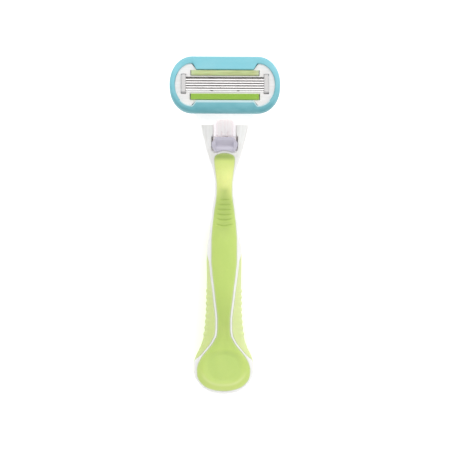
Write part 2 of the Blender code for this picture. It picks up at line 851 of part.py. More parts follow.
def build_button(parts, cutters):
    lavender = make_material("lavender_translucent", (0.55, 0.53, 0.60), 0.3, transmission=0.2)
    y0, y1 = BUTTON_Y
    side = [
        (y0, 20.75),
        (y0, 21.75),
        (y0 + 0.35, 22.1),
        (y0 + 1.2, 21.95),
        (y0 + 2.3, 21.55),
        (y0 + 3.2, 21.5),
        (y0 + 3.9, 22.05),
        (y0 + 4.9, 22.95),
        (y0 + 5.6, 23.2),
        (y1 - 0.3, 23.15),
        (y1, 22.85),
        (y1, 21.25),
        (y0 + 3.55, 21.25),
        (y0 + 3.45, 20.85),
        (y0 + 2.4, 20.85),
        (y0 + 2.3, 20.4),
        (y0 + 0.4, 20.4),
    ]
    mesh = outline_mesh("release_button", side, -BUTTON_HALF, BUTTON_HALF, ALONG_X)
    button = add_object("release_button", mesh, parts, lavender, smooth_deg=30)
    # Raised walls at both sides of the dished middle.
    for sign, name in ((-1, "left"), (1, "right")):
        x = sorted((sign * 3.9, sign * BUTTON_HALF))
        wall = box_mesh(f"button_wall_{name}", x, (y0 + 0.25, y1 - 0.2), (21.3, 22.95))
        combine(button, wall, "UNION", cutters)
    half = BUTTON_HALF
    right = [(4.4, y0 - 0.1), (half, y0 + 2.6), (half, y0 + 4.0), (3.9, y1 + 0.1)]
    plan = right + [(-x, y) for x, y in reversed(right)]
    combine(button, outline_mesh("button_plan", plan, 10.0, 30.0), "INTERSECT", cutters)
    for sign, name in ((-1, "left"), (1, "right")):
        x = sorted((sign * 5.3, sign * 5.66))
        stem = box_mesh(f"button_stem_{name}", x, (35.1, 36.3), (18.4, 21.6))
        combine(button, stem, "UNION", cutters)
        x = sorted((sign * 5.3, sign * 6.3))
        foot = box_mesh(f"button_foot_{name}", x, (34.6, 36.4), (17.2, 19.7))
        combine(button, foot, "UNION", cutters)
    arch = arc(0, y0 - 5.35, 6.1, 30, 150, 15)
    mesh = outline_mesh("button_arch", arch, 10.0, 30.0)
    combine(button, mesh, "DIFFERENCE", cutters)
    edge = bevel(button, 0.16, 1, 40)
    edge.use_clamp_overlap = True


def build_connector(parts, cutters):
    white = make_material("connector_white", (0.93, 0.93, 0.91), 0.35)
    plan = [
        (-10.3, 44.8),
        (10.3, 44.8),
        (11.6, 45.9),
        (13.4, 48.4),
        (13.65, 49.3),
        (13.2, 50.4),
        (-13.2, 50.4),
        (-13.65, 49.3),
        (-13.4, 48.4),
        (-11.6, 45.9),
    ]
    yoke = add_object("connector_yoke", outline_mesh("connector_yoke", plan, 14.5, 23.4), parts, white)
    bevel(yoke, 0.5, 3)
    socket = box_mesh("nose_socket", (-5.25, 5.25), (40.0, 60.0), (15.9, 21.3))
    combine(yoke, socket, "DIFFERENCE", cutters)
    notch = [(-4.9, 44.0)] + arc(0, 45.0, 4.9, 0, 180, 13)[::-1] + [(4.9, 44.0)]
    flat = [(x, 44.95 + (y - 45.0) * 0.36) for x, y in notch]
    combine(yoke, outline_mesh("nose_notch", flat, 19.0, 30.0), "DIFFERENCE", cutters)
    py, pz = PIVOT
    for sign, name in ((-1, "left"), (1, "right")):
        arm = [(49.4, pz - 2.0), (py, pz - 2.0)]
        arm += arc(py, pz, 2.0, -90, 90, 9)[1:-1]
        arm += [(py, pz + 2.0), (49.4, pz + 2.0)]
        x = sorted((sign * 9.2, sign * 11.6))
        mesh = outline_mesh(f"yoke_arm_{name}", arm, x[0], x[1], ALONG_X)
        combine(yoke, mesh, "UNION", cutters)
        pin = cylinder_mesh(
            f"yoke_pin_{name}", PIN_R, (sign * 6.6, py, pz), (sign * 10.0, py, pz), 24
        )
        combine(yoke, pin, "UNION", cutters)


def add_head_piece(name, mesh, parts, material, head, smooth_deg=35.0):
    return add_object(name, in_head(mesh), parts, material, parent=head, smooth_deg=smooth_deg)


def build_housing(parts, cutters, head):
    grey = make_material("housing_white", (0.74, 0.73, 0.72), 0.4)
    base_low, base_high = HOUSING_BASE_W
    mesh = outline_mesh("blade_housing", base_outline(1.9), base_low, base_high)
    housing = add_head_piece("blade_housing", mesh, parts, grey, head, 30)
    bevel(housing, 0.5, 2)

    def shape(name, mesh, operation):
        combine(housing, in_head(mesh), operation, cutters, parent=head)

    deck = outline_mesh("housing_deck", inner_outline(0.25), base_high - 0.6, HOUSING_FACE_W)
    shape("deck", deck, "UNION")
    for sign, name in ((-1, "left"), (1, "right")):
        pv, pw = pivot_in_head()
        ear = [(pv - 2.4, base_low + 0.4), (pv + 2.4, base_low + 0.4), (pv + 2.1, pw)]
        ear += arc(pv, pw, 2.1, 0, -180, 9)[1:]
        x = sorted((sign * EAR_X[0], sign * EAR_X[1]))
        shape("ear", outline_mesh(f"pivot_ear_{name}", ear, x[0], x[1], ALONG_X), "UNION")
    # Nub that rides on the plunger, under the pivot.
    pv, pw = pivot_in_head()
    nub = [(pv - 1.4, base_low + 0.4), (pv + 1.6, base_low + 0.4), (pv + 0.79, pw - 3.06)]
    nub += arc(pv + 0.09, pw - 3.06, 0.7, 0, -180, 9)[1:]
    shape("nub", outline_mesh("plunger_nub", nub, -2.4, 2.4, ALONG_X), "UNION")

    window = box_mesh("blade_window", (-17.0, 17.0), WINDOW_V, (-9.0, 3.0))
    shape("window", window, "DIFFERENCE")
    ends = box_mesh("blade_end_pockets", (-18.75, 18.75), WINDOW_V, (-4.7, 3.0))
    shape("ends", ends, "DIFFERENCE")
    upper = box_mesh("strip_slot", (-15.15, 15.15), (4.3, 6.8), (-2.1, 3.0))
    shape("upper", upper, "DIFFERENCE")
    lower = box_mesh("guard_slot", (-15.4, 15.4), (-6.6, -3.2), (-2.1, 3.0))
    shape("lower", lower, "DIFFERENCE")
    for sign, name in ((-1, "left"), (1, "right")):
        x = sorted((sign * (CLIP_X[0] - 0.2), sign * (CLIP_X[1] + 0.2)))
        for end, v in (("top", CLIP_V[1]), ("low", CLIP_V[0])):
            inner = v - 0.52 if end == "top" else v + 0.52
            outer = v + 0.2 if end == "top" else v - 0.2
            hole = box_mesh(f"clip_slot_{name}_{end}", x, sorted((inner, outer)), (-9.0, 3.0))
            shape("clip", hole, "DIFFERENCE")
    under = box_mesh("strip_hollow", (-14.2, 14.2), (4.9, 6.4), (-9.0, -3.0))
    shape("under", under, "DIFFERENCE")
    for x in (-5.8, 5.8):
        side = "left" if x < 0 else "right"
        rib = box_mesh(f"window_rib_{side}", (x - 0.5, x + 0.5), (-3.0, 4.6), (-5.6, -4.8))
        shape("rib", rib, "UNION")
        edge = -1 if x < 0 else 1
        hollow = box_mesh(f"end_hollow_{side}", sorted((edge * 19.7, edge * 21.0)), (-4.5, 5.4), (-9.0, -1.6))
        shape("hollow", hollow, "DIFFERENCE")
    pivot_hole = cylinder_mesh(
        "pivot_hole", PIN_R + PIN_PLAY, (-10.0, pv, pw), (10.0, pv, pw), 24
    )
    # Only the ears lie on this line: the nub's stem is cut back behind it.
    shape("hole", pivot_hole, "DIFFERENCE")


def build_head(parts, cutters):
    head = bpy.data.objects.new("head_pivot", None)
    head.empty_display_size = 0.005
    parts.objects.link(head)
    head.location = (0.0, PIVOT[0] * MM, PIVOT[1] * MM)
    head.rotation_euler = (-HEAD_TILT, 0.0, 0.0)

    teal = make_material("teal_rubber", (0.28, 0.62, 0.68), 0.5)
    add_head_piece("comfort_surround", build_surround_mesh(), parts, teal, head, 45)
    build_housing(parts, cutters, head)

    cream = make_material("lubricant_strip", (0.58, 0.66, 0.34), 0.45)
    profile = strip_profile(4.42, 6.68, -1.9, 0.42, 0.3)
    mesh = outline_mesh("lubricating_strip", profile, -14.9, 14.9, ALONG_X)
    strip = add_head_piece("lubricating_strip", mesh, parts, cream, head)
    bevel(strip, 0.18, 2)

    green = make_material("guard_green", (0.37, 0.60, 0.09), 0.5)
    profile = fin_profile(-6.48, -3.32, -1.9, 0.02, 0.36, 6)
    mesh = outline_mesh("guard_strip", profile, -15.2, 15.2, ALONG_X)
    add_head_piece("guard_strip", mesh, parts, green, head, 25)

    steel = make_material("blade_steel", (0.78, 0.77, 0.76), 0.22, metallic=1.0)
    dull = make_material("support_steel", (0.55, 0.55, 0.56), 0.35, metallic=1.0)
    for number in range(BLADE_COUNT):
        half = BLADE_HALF_LEN
        mesh = outline_mesh(f"blade_{number + 1}", blade_profile(number), -half, half, ALONG_X)
        add_head_piece(f"blade_{number + 1}", mesh, parts, steel.copy(), head, 20)
        name = f"blade_support_{number + 1}"
        half = BLADE_HALF_LEN + 0.25
        mesh = outline_mesh(name, support_profile(number), -half, half, ALONG_X)
        add_head_piece(name, mesh, parts, dull.copy(), head, 25)

    alloy = make_material("clip_alloy", (0.80, 0.80, 0.79), 0.35, metallic=1.0)
    for sign, name in ((-1, "clip_left"), (1, "clip_right")):
        x = sorted((sign * CLIP_X[0], sign * CLIP_X[1]))
        mesh = outline_mesh(name, clip_profile(), x[0], x[1], ALONG_X)
        clip = add_head_piece(name, mesh, parts, alloy.copy(), head, 25)
        bevel(clip, 0.08, 1, 50)


def main():
    clear_scene()
    parts = make_collection(OBJECT_NAME)
    cutters = make_collection("cutters")
    build_handle(parts, cutters)
    build_nose(parts, cutters)
    build_plunger(parts, cutters)
    build_springs(parts)
    build_button(parts, cutters)
    build_connector(parts, cutters)
    build_head(parts, cutters)


main()
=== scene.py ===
"""Looks of a cartridge razor: its skins, finishes and stage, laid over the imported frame."""

import math

import bmesh
import bpy
import numpy as np
from bpy.props import FloatProperty, FloatVectorProperty, PointerProperty
from mathutils import Matrix, Vector


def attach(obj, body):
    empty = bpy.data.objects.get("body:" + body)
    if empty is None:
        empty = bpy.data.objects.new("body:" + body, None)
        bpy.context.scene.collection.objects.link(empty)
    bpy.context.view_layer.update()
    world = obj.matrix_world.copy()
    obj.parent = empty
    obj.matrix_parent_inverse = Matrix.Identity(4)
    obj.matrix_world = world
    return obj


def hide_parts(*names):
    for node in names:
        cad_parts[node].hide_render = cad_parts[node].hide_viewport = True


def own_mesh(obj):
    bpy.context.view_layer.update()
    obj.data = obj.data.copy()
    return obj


bl_info = {
    "name": "Cartridge Razor Looks",
    "version": (1, 0, 0),
    "blender": (4, 5, 0),
    "location": "3D View > Sidebar > Razor",
    "description": "Builds the razor's skins and finishes over its frame, and a plain stage",
    "category": "Object",
}

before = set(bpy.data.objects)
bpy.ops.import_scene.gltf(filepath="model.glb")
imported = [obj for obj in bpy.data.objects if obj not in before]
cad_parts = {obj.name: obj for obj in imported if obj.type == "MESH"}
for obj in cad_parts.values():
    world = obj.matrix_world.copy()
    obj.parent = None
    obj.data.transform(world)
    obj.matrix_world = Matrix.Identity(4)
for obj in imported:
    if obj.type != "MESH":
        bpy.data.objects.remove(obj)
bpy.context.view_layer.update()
MM = 0.001

# ---- Shapes shared with the frame, in millimetres ----
TAIL_Y = -74.25
NECK_END_Y = 44.35
SECTION_POWER = 2.3

# Station along Y, half width, front height, back height.
HANDLE_STATIONS = (
    (-74.25, 1.60, 8.20, 5.60),
    (-73.70, 4.80, 9.60, 4.60),
    (-72.60, 7.40, 11.10, 3.20),
    (-71.00, 9.55, 12.40, 2.00),
    (-69.00, 11.30, 13.35, 0.90),
    (-66.50, 12.75, 14.00, 0.10),
    (-63.50, 13.15, 14.25, -0.30),
    (-60.50, 13.10, 14.25, -0.40),
    (-57.30, 12.20, 14.15, -0.40),
    (-53.80, 10.50, 13.85, -0.40),
    (-50.30, 9.25, 13.60, -0.40),
    (-46.00, 8.40, 13.60, -0.40),
    (-41.50, 7.95, 13.80, -0.40),
    (-36.00, 7.65, 14.10, -0.40),
    (-24.00, 7.60, 14.90, -0.40),
    (-15.00, 7.70, 15.30, -0.40),
    (-9.80, 7.60, 15.35, -0.40),
    (-6.30, 7.15, 15.20, -0.38),
    (-2.80, 6.65, 15.00, -0.34),
    (0.80, 6.25, 14.95, -0.20),
    (4.30, 5.70, 15.25, 0.45),
    (7.80, 5.30, 16.05, 1.75),
    (11.30, 4.80, 17.40, 3.70),
    (14.90, 4.25, 19.10, 6.00),
    (18.00, 4.15, 20.30, 8.00),
    (21.50, 4.45, 20.10, 9.85),
    (25.40, 5.40, 19.35, 11.50),
    (28.90, 6.60, 19.55, 12.70),
    (32.40, 7.70, 21.00, 13.60),
    (36.00, 8.60, 21.85, 14.20),
    (39.50, 9.50, 22.20, 14.50),
    (NECK_END_Y, 10.45, 22.30, 14.60),
)

# Station along Y, half width of the front pad.
PAD_EDGE = (
    (-72.90, 1.20),
    (-72.50, 4.30),
    (-71.20, 7.90),
    (-69.60, 9.90),
    (-67.90, 11.15),
    (-66.00, 11.75),
    (-63.50, 11.90),
    (-61.50, 11.55),
    (-59.50, 10.70),
    (-57.30, 9.30),
    (-55.60, 7.95),
    (-53.80, 6.40),
    (-52.00, 5.00),
    (-50.30, 4.05),
    (-48.50, 3.15),
    (-45.00, 2.80),
    (-41.50, 2.80),
    (-38.00, 3.10),
    (-34.40, 3.60),
    (-30.90, 4.00),
    (-27.40, 4.40),
    (-23.90, 4.90),
    (-20.40, 5.30),
    (-15.00, 5.75),
    (-6.00, 5.75),
    (-2.80, 5.55),
    (0.80, 5.25),
    (4.30, 4.85),
    (7.80, 4.40),
    (11.00, 3.90),
    (15.00, 3.60),
    (18.00, 3.60),
    (22.00, 3.95),
    (26.00, 4.40),
    (29.00, 4.65),
    (30.70, 4.20),
    (31.60, 2.60),
    (31.95, 0.80),
)
PAD_ENDS = (PAD_EDGE[0][0], PAD_EDGE[-1][0])
WHITE_LINE = 1.0
GRIP_LINE_Y = (-60.6, -11.0)
GRIP_END_Y = (-68.5, 3.0)
RIB_Y = (-49.0, -27.4)
GROOVE_Y = (11.5, 9.2, 6.95, 4.7, 2.45, -0.1)
GROOVE_HALF = (2.35, 2.75, 3.0, 3.2, 3.4, 3.65)
DISH_Y = -62.3
DISH_HALF = (9.7, 7.9)

HEAD_TILT = math.radians(13.0)
HEAD_CENTRE = (61.7, 27.5)
HEAD_HALF_W = 24.3
HEAD_V = (-12.27, 13.118)
HEAD_FLAT = 14.0
SURROUND_W = (-3.0, 0.75)
OPEN_HALF_W = 22.2
OPEN_TOP_V = (7.15, 10.05)
OPEN_BOTTOM_V = (-7.0, -9.5)
OPEN_NOTCH_TOP = (12.3, 14.6)
OPEN_NOTCH_BOTTOM = (12.4, 14.7)
BUTTON_Y = (32.45, 38.95)
BLADE_FIRST_V = -2.22
BLADE_PITCH = 1.11
OPEN_DRAW_IN = 0.17


# ---- Settings ----
def length(label, text, millimetres, low=0.0, high=5.0):
    return FloatProperty(
        name=label,
        description=text,
        default=millimetres * MM,
        min=low * MM,
        max=high * MM,
        precision=5,
        subtype="DISTANCE",
        unit="LENGTH",
    )


def colour(label, text, value):
    return FloatVectorProperty(
        name=label, description=text, default=value, min=0.0, max=1.0, size=3, subtype="COLOR"
    )


class RazorHandleSettings(bpy.types.PropertyGroup):
    seam: length("Seam", "Gap between the soft skins and the hard core", 0.05)
    pad_thick: length("Pad thickness", "Depth of the pocket under the front pad", 1.35)
    grip_thick: length("Rear grip thickness", "Depth of the pocket under the rear grip", 1.25)
    edge_roll: length("Edge rounding", "Radius rolled over the soft skins' edges", 0.30)
    rib_pitch: length("Rib pitch", "Spacing of the ribs on the sides", 2.7)
    rib_height: length("Rib height", "Height of the ribs on the sides", 0.38)
    groove_depth: length("Groove depth", "Depth of the thumb grooves", 0.42)
    groove_width: length("Groove width", "Width of each thumb groove", 1.0)
    dish_depth: length("Dish depth", "Depth of the thumb dish at the tail", 1.25)
    scoop_depth: length("Scoop depth", "Extra hollow of the grooved waist", 0.55)
    pad_colour: colour("Pad", "Front pad's rubber", (0.560, 0.735, 0.180))
    # Painted highlight: this paler colour stands for light falling on the pad's crest, not for
    # thinner rubber.
    pad_painted_highlight: colour(
        "Pad, lit crest", "Front pad where it thins over the crest", (0.880, 0.930, 0.330)
    )
    grip_colour: colour("Rear grip", "Rear grip's rubber", (0.700, 0.830, 0.300))
    core_colour: colour("Core", "Hard white core", (0.950, 0.948, 0.935))


class RazorHeadSettings(bpy.types.PropertyGroup):
    surround_colour: colour("Surround", "Soft comfort surround", (0.155, 0.500, 0.575))
    # Painted light: the paler upper band stands for light falling on the top of the surround.
    surround_painted_light: colour("Surround, upper", "Surround's paler upper band", (0.245, 0.640, 0.740))
    housing_colour: colour("Housing", "Blade housing's resin", (0.905, 0.885, 0.880))
    strip_colour: colour("Strip", "Lubricating strip", (0.465, 0.540, 0.215))
    guard_colour: colour("Guard", "Finned guard below the blades", (0.525, 0.805, 0.130))
    button_colour: colour("Button", "Release button's tinted resin", (0.600, 0.575, 0.665))


class RazorStageSettings(bpy.types.PropertyGroup):
    front_power: FloatProperty(
        name="Front light", description="Power of the light beyond the tail", default=1.6,
        min=0.0, max=200.0, unit="POWER",
    )
    distance: FloatProperty(
        name="Camera distance", description="Height of the camera over the floor", default=3.0,
        min=0.5, max=10.0, unit="LENGTH",
    )
    frame_width: FloatProperty(
        name="Frame width", description="Width that the view takes in", default=0.1989,
        min=0.05, max=1.0, unit="LENGTH",
    )
    key_power: FloatProperty(
        name="Key light", description="Power of the large light beyond the head", default=4.6,
        min=0.0, max=200.0, unit="POWER",
    )
    fill_power: FloatProperty(
        name="Side light", description="Power of the light at the right", default=0.9,
        min=0.0, max=200.0, unit="POWER",
    )


# ---- Shapes ----
def smooth_along(rows, column, y):
    """Cubic between stations; a station's slope is the harmonic mean of its two chords, or zero
    where they disagree, so the curve never overshoots."""
    table = np.array(rows)
    x, v = table[:, 0], table[:, column]
    chord = np.diff(v) / np.diff(x)
    product = chord[:-1] * chord[1:]
    same = product > 0
    inner = np.where(same, 2 * product / np.where(same, chord[:-1] + chord[1:], 1.0), 0.0)
    slope = np.concatenate(([chord[0]], inner, [chord[-1]]))
    y = np.clip(y, x[0], x[-1])
    i = np.clip(np.searchsorted(x, y, side="right") - 1, 0, len(x) - 2)
    span = x[i + 1] - x[i]
    t = (y - x[i]) / span
    return (
        (2 * t**3 - 3 * t**2 + 1) * v[i]
        + (t**3 - 2 * t**2 + t) * slope[i] * span
        + (3 * t**2 - 2 * t**3) * v[i + 1]
        + (t**3 - t**2) * slope[i + 1] * span
    )


def half_width(y):
    """Half width of the handle along Y."""
    return smooth_along(HANDLE_STATIONS, 1, y)


def pad_half(y):
    """Half width of the front pad along Y."""
    return smooth_along(PAD_EDGE, 1, y)


def ease(t):
    """Smooth step: 3t^2 - 2t^3 between 0 and 1."""
    t = np.clip(t, 0.0, 1.0)
    return t * t * (3 - 2 * t)


def roll(gap, radius):
    """Drop of a quarter round of this radius, at this distance in from the edge it rounds."""
    share = 1 - np.clip(gap / radius, 0.0, 1.0)
    return radius * (1 - np.sqrt(np.maximum(1 - share**2, 0.0)))


def skin(y, angle, depth):
    """The handle's surface: at each station a superellipse of power 2.3, whose half width and
    front and back heights follow the stations; sunk by depth along its normal, and cut flat at
    the floor."""
    w = half_width(y)
    front = smooth_along(HANDLE_STATIONS, 2, y)
    back = smooth_along(HANDLE_STATIONS, 3, y)
    middle, h = (front + back) / 2, (front - back) / 2
    p = 2 / SECTION_POWER
    c, s = np.cos(angle), np.sin(angle)
    x = np.sign(c) * np.abs(c) ** p * w
    z = middle + np.sign(s) * np.abs(s) ** p * h
    nx = np.sign(c) * np.abs(c) ** (2 - p) / w
    nz = np.sign(s) * np.abs(s) ** (2 - p) / h
    size = np.hypot(nx, nz)
    x = x - depth * nx / size
    z = np.maximum(z - depth * nz / size, np.maximum(depth, 0.0))
    return np.stack(np.broadcast_arrays(x, y, z), axis=-1)


def angle_at(y, x):
    """Section angle on the front at which the skin lies x from the middle."""
    return np.arccos(np.clip(x / half_width(y), 0.0, 1.0) ** (SECTION_POWER / 2))


def grip_angle(y):
    """Section angle of the rear grip's edge: on the white line along the sides, and a quarter
    round down onto the back at both ends."""
    low, high = GRIP_LINE_Y
    blend = np.minimum(ease((y - low) / 3.5), ease((high - y) / 5.0))
    on_line = blend * angle_at(y, pad_half(y) + WHITE_LINE)
    ahead = (y - high) / (GRIP_END_Y[1] - high)
    behind = (low - y) / (low - GRIP_END_Y[0])
    t = np.clip(np.maximum(ahead, behind), 0.0, 1.0)
    round_off = -math.radians(84.0) * (1 - np.sqrt(1 - t**2))
    return np.where(t > 0, round_off, on_line)


def grooves(y, x, s):
    """Thumb grooves: rounded troughs across the pad, faded at their ends."""
    y, x = np.broadcast_arrays(y, x)
    depth = np.zeros_like(x)
    for centre, half in zip(GROOVE_Y, GROOVE_HALF):
        across = np.abs(y - centre) / (s.groove_width / MM / 2)
        along = ease((half + 0.45 - np.abs(x)) / 0.9)
        depth = np.maximum(depth, s.groove_depth / MM * ease(1.12 - across) * along)
    return depth


def bowl(y, x):
    """Superellipse radius about the dish: 1 on its rim."""
    r = np.abs(x / DISH_HALF[0]) ** 2.3 + np.abs((y - DISH_Y) / DISH_HALF[1]) ** 2.3
    return r ** (1 / 2.3)


def scoop_share(y, x):
    """Share of the scoop's depth: full along the middle of the waist, none at its sides."""
    window = np.minimum(ease((17.6 - y) / 3.0), ease((y + 7.5) / 9.0))
    share = np.clip(np.abs(x) / np.maximum(pad_half(y) - 0.75, 0.1), 0.0, 1.0)
    return window * (1 - share**2) ** 1.5


def hollows(y, x, s):
    """Thumb dish, a rounded bowl at the tail, and the scooped waist under the grooves."""
    dish = s.dish_depth / MM * ease((1.0 - bowl(y, x)) / 0.34)
    return dish + s.scoop_depth / MM * scoop_share(y, x)


def bow_shift(y, x):
    """How far the grooves' ends lead their middles."""
    rise = ease((12.5 - y) / 12.5) * 1.9 - 0.35
    window = np.minimum(ease((16.5 - y) / 4.0), ease((y + 7.0) / 5.0))
    share = np.minimum(np.abs(x) / pad_half(y), 1.0)
    return rise * window * share**2 * (1 - share**4)


def spaced(start, end, step, marks=()):
    """Even stations from start to end, finer towards both ends, with some marks put in."""
    count = int(round((end - start) / step))
    t = np.linspace(0.0, 1.0, count + 1)
    near = np.concatenate([np.linspace(0.0, 1.6, 15) ** 1.5 * 0.6])
    y = np.concatenate([start + (end - start) * t, start + near, end - near, np.array(marks)])
    y = np.unique(np.round(y, 4))
    y = y[(y >= start) & (y <= end)]
    return y[np.concatenate([[True], np.diff(y) > 0.012])]


def arc_gap(points):
    """Distance of each point from the nearer end of its row, along the row."""
    steps = np.linalg.norm(np.diff(points, axis=1), axis=-1)
    run = np.concatenate([np.zeros((len(points), 1)), np.cumsum(steps, axis=1)], axis=1)
    return run, run[:, -1:] - run


def core_rings(s):
    """The core's sections: pocket under the front pad, white line, pocket under the rear grip,
    white line. Each run of the section is a fan of angles between its edges."""
    seam = s.seam / MM
    limits = []
    for low, high in (PAD_ENDS, GRIP_END_Y):
        limits += [low - seam, low - seam - 0.04, high + seam, high + seam + 0.04]
    y = spaced(TAIL_Y, NECK_END_Y, 0.55, limits)[:, None]
    pad_in = (y >= PAD_ENDS[0] - seam - 1e-6) & (y <= PAD_ENDS[1] + seam + 1e-6)
    grip_in = (y >= GRIP_END_Y[0] - seam - 1e-6) & (y <= GRIP_END_Y[1] + seam + 1e-6)
    edge = angle_at(y, pad_half(y) + seam)
    side = grip_angle(y)
    gap = seam / half_width(y)

    def fan(start, end, count):
        return start + (end - start) * np.linspace(0.0, 1.0, count)[None, :]

    under = fan(edge, np.pi - edge, 31)
    sunk = np.where(pad_in, s.pad_thick / MM + hollows(y, skin(y, under, 0.0)[..., 0], s), 0.0)
    parts = [skin(y, under, sunk)]
    whites = (
        fan(np.pi - edge + 0.001, np.pi - side - gap, 13),
        fan(side + gap, edge - 0.001, 13),
    )
    made = []
    for angles, flip in zip(whites, (False, True)):
        before, after = arc_gap(skin(y, angles, 0.0))
        to_pad, to_grip = (after, before) if flip else (before, after)
        depth = np.where(pad_in, roll(to_pad, 0.16), 0.0)
        depth = np.maximum(depth, np.where(grip_in, roll(to_grip, 0.16), 0.0))
        made.append(skin(y, angles, depth))
    back = fan(np.pi - side - gap + 0.001, 2 * np.pi + side + gap - 0.001, 61)
    parts += [made[0], skin(y, back, np.where(grip_in, s.grip_thick / MM, 0.0)), made[1]]
    return np.concatenate(parts, axis=1)


def pad_rings(s):
    """The front pad's sections: its outer skin between the pad's edges, with rolled edges,
    grooves, dish and scoop sunk into it, and a plain inner skin below."""
    extra = np.concatenate([np.linspace(c - 0.6, c + 0.6, 11) for c in GROOVE_Y])
    y = spaced(*PAD_ENDS, 0.38, extra)[:, None]
    edge = angle_at(y, pad_half(y))
    u = np.linspace(0.0, 1.0, 67)
    t = (0.45 * u + 0.55 * (0.5 - 0.5 * np.cos(np.pi * u)))[None, :]
    angle = edge + (np.pi - 2 * edge) * t
    x = skin(y, angle, 0.0)[..., 0]
    slope = np.gradient(pad_half(y[:, 0]), y[:, 0])[:, None]
    gap = (pad_half(y) - np.abs(x)) / np.hypot(1.0, slope)
    gap = np.minimum(gap, np.minimum(y - PAD_ENDS[0], PAD_ENDS[1] - y))
    rim = roll(gap, s.edge_roll / MM)
    top = skin(y, angle, rim + grooves(y, x, s) + hollows(y, x, s))
    top[..., 1] += bow_shift(y, x)
    low = edge + (np.pi - 2 * edge) * np.linspace(1.0, 0.0, 25)[None, :]
    x_low = skin(y, low, 0.0)[..., 0]
    bottom = skin(y, low, s.pad_thick / MM - 0.18 + hollows(y, x_low, s))
    bottom[..., 1] += bow_shift(y, x_low)
    none = np.zeros_like(x_low)
    r = bowl(y, x)
    # Mask for a painted highlight along the dish's lower rim.
    crescent = np.exp(-(((r - 1.0) / 0.075) ** 2)) * ease((DISH_Y - 1.0 - y) / 5.0)
    # Mask for painted shade in the scooped waist.
    scoop = scoop_share(y, x)
    marks = {
        "rim": np.concatenate([np.clip(gap / 1.2, 0.0, 1.0), none], axis=1),
        "crescent": np.concatenate([crescent, none], axis=1),
        "scoop": np.concatenate([scoop, none], axis=1),
        "bowl": np.concatenate([ease((1.0 - r) / 0.3), none], axis=1),
    }
    return np.concatenate([top, bottom], axis=1), marks


def grip_rings(s):
    """The rear grip's sections: its outer skin round the back with rolled edges, raised by a
    cosine wave of ribs at the sides, and a plain inner skin."""
    seam = s.seam / MM
    y = spaced(*GRIP_END_Y, 0.36)[:, None]
    side = grip_angle(y)
    gap = seam / half_width(y)
    start, end = np.pi - side + gap, 2 * np.pi + side - gap
    u = np.linspace(0.0, 1.0, 91)
    t = (0.6 * u + 0.4 * (0.5 - 0.5 * np.cos(np.pi * u)))[None, :]
    angle = start + (end - start) * t
    before, after = arc_gap(skin(y, angle, 0.0))
    inside = np.minimum(before, after)
    inside = np.minimum(inside, np.minimum(y - GRIP_END_Y[0], GRIP_END_Y[1] - y))
    wave = 0.5 - 0.5 * np.cos(2 * np.pi * (y - RIB_Y[0]) / (s.rib_pitch / MM))
    wave = np.where((y > RIB_Y[0]) & (y < RIB_Y[1]), wave, 0.0)
    rise = s.rib_height / MM * wave * np.abs(np.cos(angle)) ** 4 * ease(inside / 1.2)
    outer = skin(y, angle, roll(inside, s.edge_roll / MM) - rise)
    low = end + (start - end) * np.linspace(0.0, 1.0, 31)[None, :]
    inner = skin(y, low, s.grip_thick / MM - 0.18)
    rim = np.concatenate([np.clip(inside / 1.2, 0.0, 1.0), np.zeros_like(low)], axis=1)
    return np.concatenate([outer, inner], axis=1), {"rim": rim}


def half_oval(flat, side, low, high, start, end, count, power):
    """Points round an end: x = flat + reach * |cos|^(2/power), and
    v = middle + half * |sin|^(2/power)."""
    a = np.radians(np.linspace(start, end, count))
    c, k = np.cos(a), np.sin(a)
    x = flat + (side - flat) * np.abs(c) ** (2 / power)
    v = (low + high) / 2 + (high - low) / 2 * np.sign(k) * np.abs(k) ** (2 / power)
    return np.stack([x, v], axis=1)


def run_to(a, b, count):
    """Even points from a to b, b left off; the second value eases between them."""
    t = np.linspace(0.0, 1.0, count, endpoint=False)
    return np.stack([a[0] + (b[0] - a[0]) * t, a[1] + (b[1] - a[1]) * ease(t)], axis=1)


def both_sides(right):
    """A closed outline from its right half, run from top middle to bottom middle."""
    left = right[::-1] * np.array([-1.0, 1.0])
    return np.concatenate([right, left[1:-1]])


def surround_outlines():
    """The surround's outer and inner outlines, point for point."""
    low, high = HEAD_V
    near_t, far_t = OPEN_NOTCH_TOP
    near_b, far_b = OPEN_NOTCH_BOTTOM
    outer = [run_to((0.0, high), (near_t, high), 24), run_to((near_t, high), (HEAD_FLAT, high), 16)]
    cap = half_oval(HEAD_FLAT, HEAD_HALF_W, low, high, 90, -90, 97, 2.12)
    outer += [cap[:-1], run_to((HEAD_FLAT, low), (near_b, low), 16)]
    outer += [run_to((near_b, low), (0.0, low), 24), np.array([(0.0, low)])]
    top, pocket_top = OPEN_TOP_V
    bottom, pocket_low = OPEN_BOTTOM_V
    inner = [run_to((0.0, top), (near_t, top), 24), run_to((near_t, top), (far_t, pocket_top), 16)]
    cap = half_oval(0.5 * (far_t + far_b), OPEN_HALF_W, pocket_low, pocket_top, 90, -90, 97, 2.0)
    inner += [cap[:-1], run_to((far_b, pocket_low), (near_b, bottom), 16)]
    inner += [run_to((near_b, bottom), (0.0, bottom), 24), np.array([(0.0, bottom)])]
    inner = np.concatenate(inner)
    inner = inner - OPEN_DRAW_IN * np.stack([inner[:, 0] / 22.0, inner[:, 1] / 8.5], axis=1)
    return both_sides(np.concatenate(outer)), both_sides(inner)


def in_head(points):
    """Head coordinates (x, v, w) turned by the head's tilt and set at its centre."""
    x, v, w = points[..., 0], points[..., 1], points[..., 2]
    c, s = math.cos(HEAD_TILT), math.sin(HEAD_TILT)
    y = HEAD_CENTRE[0] + v * c + w * s
    z = HEAD_CENTRE[1] - v * s + w * c
    return np.stack([x, y, z], axis=-1)


